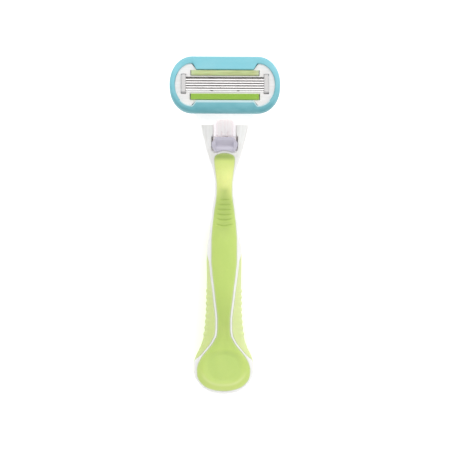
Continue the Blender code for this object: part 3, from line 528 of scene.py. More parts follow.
def surround_rings():
    """A hoop: across it the crown rises in a quarter oval from the outer wall, runs nearly flat,
    and rolls over a small lip into the opening."""
    outer, inner = surround_outlines()
    low, high = SURROUND_W
    wall = np.array([(0.02, low), (0.0, low + 0.12), (0.0, low + 0.6), (0.0, high - 1.8)])
    a = np.radians(np.linspace(0, 90, 15))[1:]
    crown = np.stack([0.46 * (1 - np.cos(a)), high - 1.8 + 1.8 * np.sin(a)], axis=1)
    t = np.linspace(0, 1, 7)[1:]
    shelf = np.stack([0.46 + 0.42 * t, high - 0.16 * t**2], axis=1)
    b = np.radians(np.linspace(90, 0, 8))[1:]
    lip = np.stack([0.88 + 0.12 * np.cos(b), high - 0.72 + 0.56 * np.sin(b)], axis=1)
    throat = np.array([(1.0, high - 1.6), (1.0, low + 0.1), (0.98, low)])
    profile = np.concatenate([wall, crown, shelf, lip, throat])
    share = profile[None, :, 0:1]
    flat = outer[:, None, :] + (inner - outer)[:, None, :] * share
    w = np.broadcast_to(profile[None, :, 1:2], flat.shape[:2] + (1,))
    # Mask for a painted highlight on the lip along the lower side of the opening.
    low_side = ease((-4.5 - inner[:, 1:2]) / 2.5) * (np.abs(inner[:, 0:1]) < 19.5)
    lip_highlight = low_side * ease((profile[None, :, 0] - 0.74) / 0.12)
    return in_head(np.concatenate([flat, w], axis=-1)), {"lip": lip_highlight}


def bar_rings(profile, x0, x1, radius):
    """A section carried along X; near both ends it shrinks towards its base by a quarter round."""
    x = spaced(x0, x1, 0.5)
    inset = roll(np.minimum(x - x0, x1 - x), radius)[:, None]
    v, w = profile[:, 0][None, :], profile[:, 1][None, :]
    centre, half = (v.max() + v.min()) / 2, (v.max() - v.min()) / 2
    base, height = w.min(), w.max() - w.min()
    vv = centre + (v - centre) * (1 - inset / half)
    ww = base + (w - base) * (1 - inset / height)
    return in_head(np.stack(np.broadcast_arrays(x[:, None], vv, ww), axis=-1))


def strip_section(v0, v1, base, top):
    """A bar's section: a low crowned top with round shoulders, over straight sides."""
    t = np.linspace(0.0, 1.0, 33)
    crown = (1 - np.abs(2 * t - 1) ** 5) ** 0.6
    v = v0 + (v1 - v0) * t
    w = top - 0.45 + 0.45 * crown
    return np.concatenate([np.stack([v, w], axis=1), [(v1, base), (v0, base)]])


def fin_section(v0, v1, base, valley, crest, fins):
    """The guard's section: a row of thin rounded fins, a raised cosine to a small power."""
    t = np.linspace(0.0, 1.0, fins * 16 + 1)
    wave = (0.5 - 0.5 * np.cos(2 * np.pi * fins * t)) ** 0.7
    v = v0 + (v1 - v0) * t
    w = valley + (crest - valley) * wave
    return np.concatenate([np.stack([v, w], axis=1), [(v1, base), (v0, base)]])


# ---- Meshes ----
def make_object(name, vertices, faces, marks=None, sharp=38.0):
    """Puts vertices in mm, faces and named values per vertex into an object at the origin."""
    mesh = bpy.data.meshes.new(name)
    mesh.from_pydata((vertices * MM).tolist(), [], faces)
    mesh.update()
    for key, values in (marks or {}).items():
        mesh.attributes.new(key, "FLOAT", "POINT").data.foreach_set("value", values)
    mesh.shade_smooth()
    mesh.set_sharp_from_angle(angle=math.radians(sharp))
    piece = bpy.data.objects.new(name, mesh)
    bpy.context.scene.collection.objects.link(piece)
    return piece


def signed_volume(vertices, triangles):
    """Volume inside triangles: negative when they face inwards."""
    a, b, c = (vertices[triangles[:, i]] for i in range(3))
    return float(np.einsum("ij,ij->i", a, np.cross(b, c)).sum()) / 6


def loft(name, rings, closed_ends=True, marks=None, sharp=38.0):
    """Joins rows of points into a tube. Ends are closed with a fan, or joined to each other."""
    rows, count = rings.shape[:2]
    index = np.arange(rows * count).reshape(rows, count)
    if closed_ends:
        here, ahead = index[:-1], index[1:]
    else:
        here, ahead = index, np.roll(index, -1, axis=0)
    quads = np.stack(
        [here, np.roll(here, -1, axis=1), np.roll(ahead, -1, axis=1), ahead], axis=-1
    ).reshape(-1, 4)
    vertices = rings.reshape(-1, 3)
    fans = np.zeros((0, 3), dtype=int)
    if closed_ends:
        first, last = rings[0].mean(axis=0), rings[-1].mean(axis=0)
        vertices = np.concatenate([vertices, [first, last]])
        a, b = index[0], index[-1]
        start = np.stack([np.roll(a, -1), a, np.full(count, rows * count)], axis=-1)
        end = np.stack([b, np.roll(b, -1), np.full(count, rows * count + 1)], axis=-1)
        fans = np.concatenate([start, end])
    triangles = np.concatenate([quads[:, :3], quads[:, [0, 2, 3]], fans])
    if signed_volume(vertices, triangles) < 0:
        quads, fans = quads[:, ::-1], fans[:, ::-1]
    tail = [0.0] * (len(vertices) - rows * count)
    flat = {k: np.concatenate([v.reshape(-1), tail]) for k, v in (marks or {}).items()}
    return make_object(name, vertices, quads.tolist() + fans.tolist(), flat, sharp)


def coil_rings(radius, wire, start, stop, turns, x, z):
    """Round wire on a helix about an axis along the handle: the centre line turns at an even
    pitch, and each ring of the wire lies across its tangent."""
    t = np.linspace(0.0, 1.0, int(turns * 14) + 1)
    a = 2 * np.pi * turns * t
    cos, sin, none = np.cos(a), np.sin(a), np.zeros_like(a)
    centre = np.column_stack([x + radius * cos, start + (stop - start) * t, z + radius * sin])
    outward = np.column_stack([cos, none, sin])
    turn = 2 * np.pi * turns * radius
    tangent = np.column_stack([-turn * sin, none + (stop - start), turn * cos])
    tangent /= np.linalg.norm(tangent, axis=1, keepdims=True)
    across = np.cross(tangent, outward)
    u = np.linspace(0.0, 2 * np.pi, 10, endpoint=False)[None, :, None]
    return centre[:, None] + wire * (np.cos(u) * outward[:, None] + np.sin(u) * across[:, None])


def prism(name, outline, low, high):
    """A flat outline drawn up between two heights."""
    flat = np.array(outline, dtype=float)
    rings = np.stack([np.column_stack([flat, np.full(len(flat), h)]) for h in (low, high)])
    return loft(name, rings)


def carve(piece, cutters, sharp=38.0):
    """Cuts shapes out of a piece for good, and clears them away. Bent quads are split first,
    because the cut needs flat faces."""
    for shape in (piece, *cutters):
        bm = bmesh.new()
        bm.from_mesh(shape.data)
        bmesh.ops.triangulate(bm, faces=bm.faces)
        bm.to_mesh(shape.data)
        bm.free()
    for cutter in cutters:
        cut = piece.modifiers.new(cutter.name, "BOOLEAN")
        cut.operation = "DIFFERENCE"
        cut.solver = "MANIFOLD"
        cut.object = cutter
    graph = bpy.context.evaluated_depsgraph_get()
    mesh = bpy.data.meshes.new_from_object(piece.evaluated_get(graph))
    piece.modifiers.clear()
    old, piece.data = piece.data, mesh
    mesh.name = piece.name
    bpy.data.meshes.remove(old)
    for cutter in cutters:
        shape = cutter.data
        bpy.data.objects.remove(cutter)
        bpy.data.meshes.remove(shape)
    mesh.shade_smooth()
    mesh.set_sharp_from_angle(angle=math.radians(sharp))


# ---- Finishes ----
class Number:
    """A socket that carries a number. Arithmetic on it adds Math nodes."""

    def __init__(self, finish, socket):
        self.finish, self.socket = finish, socket

    def math(self, operation, *values, clamp=False):
        node = self.finish.node("ShaderNodeMath", {"operation": operation, "use_clamp": clamp})
        for socket, value in zip(node.inputs, values):
            self.finish.feed(socket, value)
        return Number(self.finish, node.outputs[0])

    def __add__(self, other):
        return self.math("ADD", self, other)

    def __radd__(self, other):
        return self.math("ADD", other, self)

    def __sub__(self, other):
        return self.math("SUBTRACT", self, other)

    def __rsub__(self, other):
        return self.math("SUBTRACT", other, self)

    def __mul__(self, other):
        return self.math("MULTIPLY", self, other)

    def __rmul__(self, other):
        return self.math("MULTIPLY", other, self)

    def __truediv__(self, other):
        return self.math("DIVIDE", self, other)

    def __pow__(self, other):
        return self.math("POWER", self, other)

    def clamped(self):
        return self.math("ADD", self, 0.0, clamp=True)

    def step(self, low, high):
        """0 below low, 1 above high, smooth between."""
        node = self.finish.node(
            "ShaderNodeMapRange",
            {"interpolation_type": "SMOOTHSTEP"},
            {"Value": self, "From Min": low, "From Max": high},
        )
        return Number(self.finish, node.outputs["Result"])


class Finish:
    """A material under construction, with its coordinates in millimetres."""

    def __init__(self, name):
        self.material = bpy.data.materials.new(name)
        self.material.use_nodes = True
        self.tree = self.material.node_tree
        self.tree.nodes.clear()
        self.out = self.node("ShaderNodeOutputMaterial")
        self.place = self.node("ShaderNodeTexCoord").outputs["Object"]
        self.mm = self.mapped((1000.0, 1000.0, 1000.0))
        split = self.node("ShaderNodeSeparateXYZ", None, {0: self.mm})
        self.x, self.y, self.z = (Number(self, split.outputs[i]) for i in range(3))

    def node(self, kind, settings=None, inputs=None):
        made = self.tree.nodes.new(kind)
        for key, value in (settings or {}).items():
            if key == "stops":
                ramp = made.color_ramp
                while len(ramp.elements) < len(value):
                    ramp.elements.new(0.5)
                for element, (spot, shade) in zip(ramp.elements, value):
                    element.position = spot
                    element.color = (*shade, 1.0)
            else:
                setattr(made, key, value)
        for key, value in (inputs or {}).items():
            self.feed(made.inputs[key], value)
        return made

    def feed(self, socket, value):
        if isinstance(value, Number):
            value = value.socket
        if isinstance(value, bpy.types.NodeSocket):
            self.tree.links.new(value, socket)
        elif isinstance(value, tuple) and len(value) == 3 and socket.type == "RGBA":
            socket.default_value = (*value, 1.0)
        else:
            socket.default_value = value

    def mapped(self, scale, turn=(0.0, 0.0, 0.0), shift=(0.0, 0.0, 0.0)):
        node = self.node(
            "ShaderNodeMapping", None,
            {"Vector": self.place, "Scale": scale, "Rotation": turn, "Location": shift},
        )
        return node.outputs["Vector"]

    def noise(self, scale, detail=3.0, stretch=(1.0, 1.0, 1.0), rough=0.5, turn=(0.0, 0.0, 0.0)):
        """Cloudy noise with this many swells per millimetre, stretched along the axes."""
        vector = self.mapped(tuple(1000.0 * v for v in stretch), turn)
        node = self.node(
            "ShaderNodeTexNoise", None,
            {"Vector": vector, "Scale": scale, "Detail": detail, "Roughness": rough},
        )
        return Number(self, node.outputs["Fac"])

    def cells(self, scale, feature="F1"):
        node = self.node(
            "ShaderNodeTexVoronoi", {"feature": feature}, {"Vector": self.mm, "Scale": scale}
        )
        return Number(self, node.outputs["Distance"])

    def attribute(self, name):
        node = self.node("ShaderNodeAttribute", {"attribute_name": name})
        return Number(self, node.outputs["Fac"])

    def mix(self, share, a, b, blend="MIX"):
        node = self.node("ShaderNodeMix", {"data_type": "RGBA", "blend_type": blend})
        self.feed(node.inputs["Factor"], share)
        self.feed(node.inputs[6], a)
        self.feed(node.inputs[7], b)
        return node.outputs[2]

    def ramp(self, share, stops):
        node = self.node("ShaderNodeValToRGB", {"stops": stops}, {"Fac": share})
        return node.outputs["Color"]

    def bump(self, height, distance, strength=1.0, normal=None):
        """Bump whose height runs 0 to 1 over this distance in millimetres."""
        inputs = {"Height": height, "Distance": distance * MM, "Strength": strength}
        if normal is not None:
            inputs["Normal"] = normal
        return self.node("ShaderNodeBump", None, inputs).outputs["Normal"]

    def close(self, **values):
        shader = self.node("ShaderNodeBsdfPrincipled")
        for key, value in values.items():
            self.feed(shader.inputs[key.replace("_", " ")], value)
        self.feed(self.out.inputs["Surface"], shader.outputs[0])
        return self.material


def shade(value, factor):
    """A colour times a factor."""
    return tuple(min(v * factor, 1.0) for v in value)


def tint(a, b, t):
    """A colour moved a share of the way to another."""
    return tuple(x * (1 - t) + y * t for x, y in zip(a, b))


def pad_rubber(s):
    """Front pad: rubber with painted light and shade along its length, lighter at the tail and over
    the crest, darker at a dip past the dish, across the grooved waist, in the scoop and at its top
    end, with a painted highlight on the dish's lower rim; it also pales at its rims, and is
    mottled, with fine grain.
    """
    f = Finish("front_pad_rubber")
    base, light = tuple(s.pad_colour), tuple(s.pad_painted_highlight)
    waist_shade = shade(base, 0.93)
    # Painted light and shade: the ramp along Y makes the pad lighter at the tail and over the
    # crest, darker at a dip past the dish and across the grooved waist, and carries a painted
    # shadow at the top end below the neck.
    along = (f.y + 75.0) / 110.0
    colour_y = f.ramp(along.clamped(), (
        (0.00, tint(base, light, 0.40)),
        (0.07, tint(base, light, 0.10)),
        (0.19, shade(base, 0.97)),
        (0.27, shade(base, 0.84)),
        (0.45, tint(base, light, 0.02)),
        (0.62, shade(base, 0.99)),
        (0.775, waist_shade),
        (0.835, tint(base, light, 0.85)),
        (0.875, light),
        (0.94, tint(base, light, 0.45)),
        (0.955, shade(base, 0.72)),
    ))
    cloud = f.noise(0.16, 3.0, (1.0, 0.45, 1.0))
    colour_y = f.mix((cloud.step(0.35, 0.75) * 0.35), colour_y, tint(base, light, 0.35))
    fine = f.noise(1.3, 4.0, rough=0.65)
    colour_y = f.mix(fine.step(0.48, 0.78) * 0.16, colour_y, shade(base, 0.80))
    # Painted shade: the scoop is coloured darker, where shade falls in its hollow.
    colour_y = f.mix(f.attribute("scoop") * 0.62, colour_y, shade(base, 0.80))
    colour_y = f.mix(f.attribute("bowl") * 0.22, colour_y, (0.52, 0.72, 0.24))
    # Painted highlight: the dish's lower rim is coloured paler, as if lit.
    colour_y = f.mix(f.attribute("crescent") * 0.60, colour_y, (0.78, 0.88, 0.38))
    rim = f.attribute("rim")
    edge = tint(base, (0.80, 0.84, 0.62), 0.55)
    colour_y = f.mix((1 - rim.step(0.0, 0.75)) * 0.55, colour_y, edge)
    grain = f.noise(5.5, 3.0, rough=0.7)
    pits = f.cells(2.6)
    normal = f.bump(grain, 0.035, 0.55)
    normal = f.bump(pits, 0.02, 0.35, normal)
    normal = f.bump(fine, 0.05, 0.35, normal)
    rough = 0.46 + grain * 0.16 + cloud * 0.06
    return f.close(
        Base_Color=colour_y, Roughness=rough, Normal=normal, Subsurface_Weight=0.12,
        Subsurface_Radius=(1.0, 1.2, 0.4), Subsurface_Scale=0.0012, Coat_Weight=0.06,
        Coat_Roughness=0.4,
    )


def grip_rubber(s):
    """Rear grip: the same rubber, a little yellower, mottled and paler along its edges, with
    painted light that makes its right side paler.
    """
    f = Finish("rear_grip_rubber")
    base = tuple(s.grip_colour)
    pale = tint(base, (0.80, 0.86, 0.45), 0.55)
    cloud = f.noise(0.2, 3.0, (1.0, 0.35, 1.0))
    colour_b = f.mix(cloud.step(0.3, 0.75) * 0.6, shade(base, 0.94), pale)
    # Painted light: the right side is coloured paler, as if lit more strongly from that side.
    side = f.x.step(-6.0, 9.0)
    colour_b = f.mix(side * 0.45, colour_b, tint(base, (0.82, 0.88, 0.50), 0.75))
    fine = f.noise(1.6, 4.0, rough=0.7)
    colour_b = f.mix(fine.step(0.5, 0.8) * 0.18, colour_b, shade(base, 0.78))
    rim = f.attribute("rim")
    colour_b = f.mix((1 - rim.step(0.0, 0.7)) * 0.5, colour_b, tint(base, (0.82, 0.86, 0.66), 0.6))
    grain = f.noise(6.0, 3.0, rough=0.7)
    normal = f.bump(grain, 0.035, 0.6)
    normal = f.bump(f.cells(2.2), 0.02, 0.4, normal)
    rough = 0.48 + grain * 0.15 + cloud * 0.05
    return f.close(
        Base_Color=colour_b, Roughness=rough, Normal=normal, Subsurface_Weight=0.12,
        Subsurface_Radius=(1.0, 1.2, 0.4), Subsurface_Scale=0.0012, Coat_Weight=0.05,
        Coat_Roughness=0.4,
    )


def resin(
    name, base, flow_axis="y", gloss=0.3, clear=0.0, haze=0.35, speck=0.12, warm=0.0, painted_glow=0.0
):
    """Moulded resin: flow lines along an axis, faint haze, polish that varies, hairline scuffs.
    When asked for, a constant emission in the base colour is added: painted light that brightens
    the part as if lit through, though it is no lamp.
    """
    f = Finish(name)
    stretch = {"x": (0.08, 1.0, 1.0), "y": (1.0, 0.08, 1.0), "z": (1.0, 1.0, 0.08)}[flow_axis]
    flow = f.noise(0.9, 4.0, stretch, rough=0.6)
    cloud = f.noise(0.22, 3.0)
    low = tint(shade(base, 0.93), (0.80, 0.74, 0.62), warm)
    high = shade(base, 1.04)
    tone = f.mix(flow.step(0.3, 0.72), low, high)
    tone = f.mix(cloud.step(0.35, 0.8) * haze, tone, shade(base, 0.88))
    dust = f.noise(3.2, 2.0, rough=0.8)
    tone = f.mix(dust.step(0.66, 0.78) * speck, tone, shade(base, 0.70))
    scuff = f.noise(1.1, 3.0, (0.12, 1.0, 1.0), rough=0.75, turn=(0.0, 0.0, 0.6))
    lines = scuff.step(0.60, 0.66)
    normal = f.bump(flow, 0.02, 0.4)
    normal = f.bump(f.noise(4.5, 3.0, rough=0.7), 0.012, 0.5, normal)
    rough = gloss + lines * 0.10 + cloud * 0.10 + dust * 0.05
    values = dict(Base_Color=tone, Roughness=rough, Normal=normal, IOR=1.49)
    if clear > 0:
        values.update(Transmission_Weight=clear)
    # Painted light: a constant emission in the resin's own colour; the part is no lamp.
    if painted_glow > 0:
        values.update(Emission_Color=base, Emission_Strength=painted_glow)
    values.update(
        Subsurface_Weight=0.15, Subsurface_Radius=(1.0, 0.95, 0.9), Subsurface_Scale=0.0015
    )
    return f.close(**values)


def housing_resin(s):
    """Blade housing: pale moulded resin with flow lines along its length."""
    known = bpy.data.materials.get("housing_resin")
    if known:
        return known
    return resin("housing_resin", tuple(s.housing_colour), "x", gloss=0.36, haze=0.3, warm=0.05)


def surround_rubber(s):
    """Comfort surround: satin elastomer with painted light and shade, paler on its upper band and
    darker under the guard; mottled, with grain.
    """
    f = Finish("surround_rubber")
    base, light = tuple(s.surround_colour), tuple(s.surround_painted_light)
    # Painted light and shade: the ramp along Y makes the upper band paler and the lower band under
    # the guard darker.
    along = ((f.y - 49.0) / 25.6).clamped()
    tone = f.ramp(along, (
        (0.00, shade(base, 0.72)),
        (0.10, shade(base, 0.82)),
        (0.21, shade(base, 0.88)),
        (0.50, tint(base, light, 0.55)),
        (0.80, light),
        (1.00, tint(base, light, 0.6)),
    ))
    cloud = f.noise(0.18, 3.0, (0.5, 1.0, 1.0))
    tone = f.mix(cloud.step(0.35, 0.8) * 0.30, tone, tint(light, (0.6, 0.85, 0.88), 0.4))
    fine = f.noise(1.5, 4.0, rough=0.7)
    tone = f.mix(fine.step(0.5, 0.8) * 0.14, tone, shade(base, 0.78))
    # Painted highlight: the lower lip is coloured pale, as if catching light.
    tone = f.mix(f.attribute("lip") * 0.72, tone, (0.72, 0.86, 0.88))
    grain = f.noise(6.5, 3.0, rough=0.7)
    normal = f.bump(grain, 0.03, 0.55)
    normal = f.bump(f.cells(3.0), 0.015, 0.35, normal)
    rough = 0.42 + grain * 0.16 + cloud * 0.06
    return f.close(
        Base_Color=tone, Roughness=rough, Normal=normal, Subsurface_Weight=0.1,
        Subsurface_Radius=(0.5, 1.0, 1.0), Subsurface_Scale=0.001, Coat_Weight=0.08,
        Coat_Roughness=0.35,
    )


def balm(s):
    """Lubricating strip: waxy mottled bar with streaks along its length and small pores."""
    f = Finish("strip_balm")
    base = tuple(s.strip_colour)
    streak = f.noise(1.1, 4.0, (0.10, 1.0, 1.0), rough=0.6)
    blot = f.noise(0.45, 3.0, (0.6, 1.0, 1.0))
    tone = f.mix(streak.step(0.3, 0.7), shade(base, 0.88), tint(base, (0.66, 0.82, 0.42), 0.6))
    tone = f.mix(blot.step(0.42, 0.72) * 0.55, tone, (0.60, 0.60, 0.28))
    ends = f.x.math("ABSOLUTE", f.x).step(12.6, 14.9)
    tone = f.mix(ends * 0.35, tone, (0.62, 0.70, 0.55))
    pores = f.cells(1.7)
    tone = f.mix((1 - pores.step(0.10, 0.30)) * 0.22, tone, shade(base, 0.62))
    normal = f.bump(streak, 0.05, 0.5)
    normal = f.bump(pores, 0.03, 0.5, normal)
    rough = 0.34 + blot * 0.2 + streak * 0.08
    return f.close(
        Base_Color=tone, Roughness=rough, Normal=normal, Subsurface_Weight=0.2,
        Subsurface_Radius=(0.9, 1.0, 0.5), Subsurface_Scale=0.001, Coat_Weight=0.15,
        Coat_Roughness=0.3,
    )


def guard_rubber(s):
    """Guard: vivid soft rubber; the valleys between its fins carry painted shade, coloured darker
    than the crests.
    """
    f = Finish("guard_rubber")
    base = tuple(s.guard_colour)
    c, k = math.cos(HEAD_TILT), math.sin(HEAD_TILT)
    # Painted shade: the valleys between the fins are coloured darker than the crests.
    depth = (f.y - HEAD_CENTRE[0]) * k + (f.z - HEAD_CENTRE[1]) * c
    crest = depth.step(0.05, 0.36)
    tone = f.mix(crest, shade(base, 0.72), tint(base, (0.50, 0.72, 0.16), 0.5))
    blot = f.noise(0.5, 3.0, (0.4, 1.0, 1.0))
    tone = f.mix(blot.step(0.35, 0.75) * 0.35, tone, shade(base, 0.86))
    dust = f.noise(2.8, 3.0, rough=0.75)
    tone = f.mix(dust.step(0.6, 0.8) * 0.16, tone, (0.62, 0.78, 0.42))
    grain = f.noise(6.0, 3.0, rough=0.7)
    normal = f.bump(grain, 0.025, 0.6)
    return f.close(
        Base_Color=tone, Roughness=0.44 + grain * 0.18, Normal=normal, Subsurface_Weight=0.1,
        Subsurface_Radius=(0.6, 1.0, 0.3), Subsurface_Scale=0.0008,
    )


def steel(name, base, gloss, axis="x", metal=1.0, wear=0.25, grind=1.0, gap_shade=False):
    """Worked steel: fine grinding lines along an axis, soft heat tone and small rub marks. A flag
    paints the rear part of each blade darker: painted shade that stands for the shaded gap there."""
    f = Finish(name)
    stretch = {"x": (0.03, 1.0, 1.0), "y": (1.0, 0.03, 1.0), "z": (1.0, 1.0, 0.03)}[axis]
    lines = f.noise(7.0, 4.0, stretch, rough=0.7)
    broad = f.noise(0.5, 3.0, tuple(max(v, 0.3) for v in stretch))
    tone = f.mix(lines.step(0.3, 0.72), shade(base, 0.86), shade(base, 1.06))
    tone = f.mix(broad.step(0.4, 0.78) * 0.4, tone, tint(base, (0.62, 0.56, 0.50), 0.35))
    marks = f.noise(2.4, 3.0, rough=0.8).step(0.62, 0.75)
    tone = f.mix(marks * wear, tone, shade(base, 0.62))
    if gap_shade:
        # Painted shade: a dark band over the rear part of each blade, where the gap behind it lies
        # in shade.
        c, k = math.cos(HEAD_TILT), math.sin(HEAD_TILT)
        across = (f.y - HEAD_CENTRE[0]) * c - (f.z - HEAD_CENTRE[1]) * k
        steps = (across - BLADE_FIRST_V) / BLADE_PITCH
        phase = steps.math("FRACT", steps)
        band = phase.step(0.44, 0.62)
        tone = f.mix(band * (0.70 + broad * 0.25), tone, (0.10, 0.085, 0.085))
    normal = f.bump(lines, 0.012, 0.5 * grind)
    rough = gloss + lines * 0.14 + marks * 0.12 + broad * 0.06
    return f.close(Base_Color=tone, Metallic=metal, Roughness=rough, Normal=normal)


def floor_paper():
    """Stage floor: matt white sheet with the faintest tooth."""
    f = Finish("floor_paper")
    tooth = f.noise(0.05, 3.0)
    tone = f.mix(tooth * 0.5, (0.93, 0.93, 0.93), (0.96, 0.96, 0.96))
    return f.close(
        Base_Color=tone, Roughness=0.9, Emission_Color=(1.0, 1.0, 1.0), Emission_Strength=0.30
    )


def dress(piece, material):
    """Gives a whole piece or CAD node one finish."""
    if not piece.data.materials:
        piece.data.materials.append(material)
    for entry in piece.material_slots:
        entry.link = "OBJECT"
        entry.material = material


def finish_piece(piece, body, node, material):
    """Gives a new piece its finish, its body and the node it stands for."""
    piece.data.materials.clear()
    piece.data.materials.append(material)
    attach(piece, body)
    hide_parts(node)


# ---- Operators ----
class RAZOR_OT_core(bpy.types.Operator):
    """Build the hard white core with its pockets and the button's seat"""

    bl_idname = "razor.core"
    bl_label = "Handle core"

    def execute(self, context):
        s = context.scene.razor_handle
        core = loft("core_skin", core_rings(s), sharp=42.0)
        y0 = BUTTON_Y[0]
        a = np.radians(np.linspace(122, 58, 25))
        rear = np.column_stack([5.85 * np.cos(a), y0 - 5.35 + 5.85 * np.sin(a)])
        seat = [(4.4, 41.6), (-4.4, 41.6), (-5.92, 39.15), (-5.92, 33.2), (-4.9, 32.2)]
        seat += [*rear.tolist(), (4.9, 32.2), (5.92, 33.2), (5.92, 39.15)]
        cutters = [
            prism("nose_well", [(-5.2, 32.9), (5.2, 32.9), (5.2, 46.0), (-5.2, 46.0)], 15.95, 30.0),
            prism("button_seat", seat, 20.15, 30.0),
        ]
        for side in (-1, 1):
            xs = sorted((side * 5.0, side * 6.5))
            box = [(xs[0], 34.3), (xs[1], 34.3), (xs[1], 41.0), (xs[0], 41.0)]
            cutters.append(prism(f"stem_slot_{side + 1}", box, 16.9, 19.9))
            xs = sorted((side * 4.9, side * 5.85))
            box = [(xs[0], 33.0), (xs[1], 33.0), (xs[1], 39.2), (xs[0], 39.2)]
            cutters.append(prism(f"stem_mouth_{side + 1}", box, 19.0, 20.9))
        carve(core, cutters, 42.0)
        white = resin("core_resin", tuple(s.core_colour), "y", gloss=0.28, warm=0.10)
        finish_piece(core, "handle", "handle_core", white)
        return {"FINISHED"}


class RAZOR_OT_front_pad(bpy.types.Operator):
    """Build the soft front pad with its thumb grooves, scoop and dish"""

    bl_idname = "razor.front_pad"
    bl_label = "Front pad"

    def execute(self, context):
        s = context.scene.razor_handle
        rings, marks = pad_rings(s)
        pad = loft("front_pad", rings, marks=marks, sharp=50.0)
        finish_piece(pad, "handle", "front_grip", pad_rubber(s))
        return {"FINISHED"}


class RAZOR_OT_rear_grip(bpy.types.Operator):
    """Build the soft rear grip with its side ribs"""

    bl_idname = "razor.rear_grip"
    bl_label = "Rear grip"

    def execute(self, context):
        s = context.scene.razor_handle
        rings, marks = grip_rings(s)
        grip = loft("rear_skin", rings, marks=marks, sharp=50.0)
        finish_piece(grip, "handle", "rear_grip", grip_rubber(s))
        return {"FINISHED"}


class RAZOR_OT_button(bpy.types.Operator):
    """Finish the release button and the nose, plunger and connector round it"""

    bl_idname = "razor.button"
    bl_label = "Button and connector"

    def execute(self, context):
        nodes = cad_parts
        head = context.scene.razor_head
        # The button, nose, plunger and connector carry a small constant emission: painted light
        # standing in for light passing through their pale resin, and on the connector lifting the
        # shade cast by the head.
        lavender = resin(
            "button_resin", tuple(head.button_colour), "x",
            gloss=0.22, clear=0.12, haze=0.4, painted_glow=0.06,
        )
        dress(nodes["release_button"], lavender)
        clear = resin("nose_resin", (0.92, 0.88, 0.90), "y", gloss=0.2, haze=0.2, painted_glow=0.25)
        dress(nodes["docking_nose"], clear)
        pink = resin("plunger_resin", (0.90, 0.85, 0.855), "y", gloss=0.24, haze=0.35, painted_glow=0.14)
        dress(nodes["plunger"], pink)
        yoke = resin("connector_resin", (0.95, 0.945, 0.94), "x", gloss=0.28, haze=0.2, painted_glow=0.40)
        dress(nodes["connector_yoke"], yoke)
        return {"FINISHED"}


class RAZOR_OT_surround(bpy.types.Operator):
    """Build the soft comfort surround"""

    bl_idname = "razor.surround"
    bl_label = "Comfort surround"

    def execute(self, context):
        s = context.scene.razor_head
        rings, marks = surround_rings()
        ring = loft("surround_ring", rings, closed_ends=False, marks=marks, sharp=50.0)
        finish_piece(ring, "head", "comfort_surround", surround_rubber(s))
        return {"FINISHED"}


class RAZOR_OT_strips(bpy.types.Operator):
    """Build the lubricating strip and the finned guard"""

    bl_idname = "razor.strips"
    bl_label = "Strips"

    def execute(self, context):
        s = context.scene.razor_head
        section = strip_section(4.42, 6.68, -1.9, 0.42)
        strip = loft("balm_strip", bar_rings(section, -14.9, 14.9, 0.35), sharp=50.0)
        finish_piece(strip, "head", "lubricating_strip", balm(s))
        section = fin_section(-6.5, -3.95, -1.9, 0.04, 0.36, 6)
        guard = loft("guard_fins", bar_rings(section, -15.0, 15.0, 0.3), sharp=60.0)
        finish_piece(guard, "head", "guard_strip", guard_rubber(s))
        section = strip_section(-3.9, -3.24, -1.9, -0.42)
        bed = loft("guard_bed", bar_rings(section, -15.35, 15.35, 0.1), sharp=50.0)
        bed.data.materials.append(housing_resin(s))
        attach(bed, "head")
        return {"FINISHED"}


class RAZOR_OT_blades(bpy.types.Operator):
    """Finish the housing, blades, supports, clips and springs"""

    bl_idname = "razor.blades"
    bl_label = "Housing and blades"

    def execute(self, context):
        s = context.scene.razor_head
        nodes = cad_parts
        dress(nodes["blade_housing"], housing_resin(s))
        blade = steel("blade_steel", (0.72, 0.70, 0.70), 0.26, "x", gap_shade=True)
        # The supports' dark colour is partly their own steel and partly painted shade that darkens
        # the gaps seen between the blades.
        support = steel("support_steel", (0.16, 0.155, 0.15), 0.42, "x", wear=0.35)
        clip = steel("clip_alloy", (0.57, 0.56, 0.56), 0.40, "y", metal=0.75)
        wire = steel("spring_wire", (0.62, 0.61, 0.60), 0.28, "y", wear=0.3)
        for name, node in nodes.items():
            if name.startswith("blade_support"):
                dress(node, support)
            elif name.startswith("blade_") and name != "blade_housing":
                dress(node, blade)
            elif name.startswith("clip_"):
                dress(node, clip)
        span = (34.2, 39.2)
        coils = [("plunger_spring", "plunger_slide", 1.3, 0.2, span, 5, 0.0, 18.35, 34.0, 0.57)]
        for side, x in (("left", -5.76), ("right", 5.76)):
            name = f"button_spring_{side}"
            coils.append((name, "button_slide", 0.56, 0.12, (36.65, 40.8), 6, x, 18.2, 41.0, 0.45))
        for name, joint, radius, thick, span, turns, x, z, fixed, keep in coils:
            rings = coil_rings(radius, thick, *span, turns, x, z)
            spring = loft(name.replace("spring", "coil"), rings, sharp=80.0)
            finish_piece(spring, "handle", name, wire)
            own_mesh(spring)
        return {"FINISHED"}


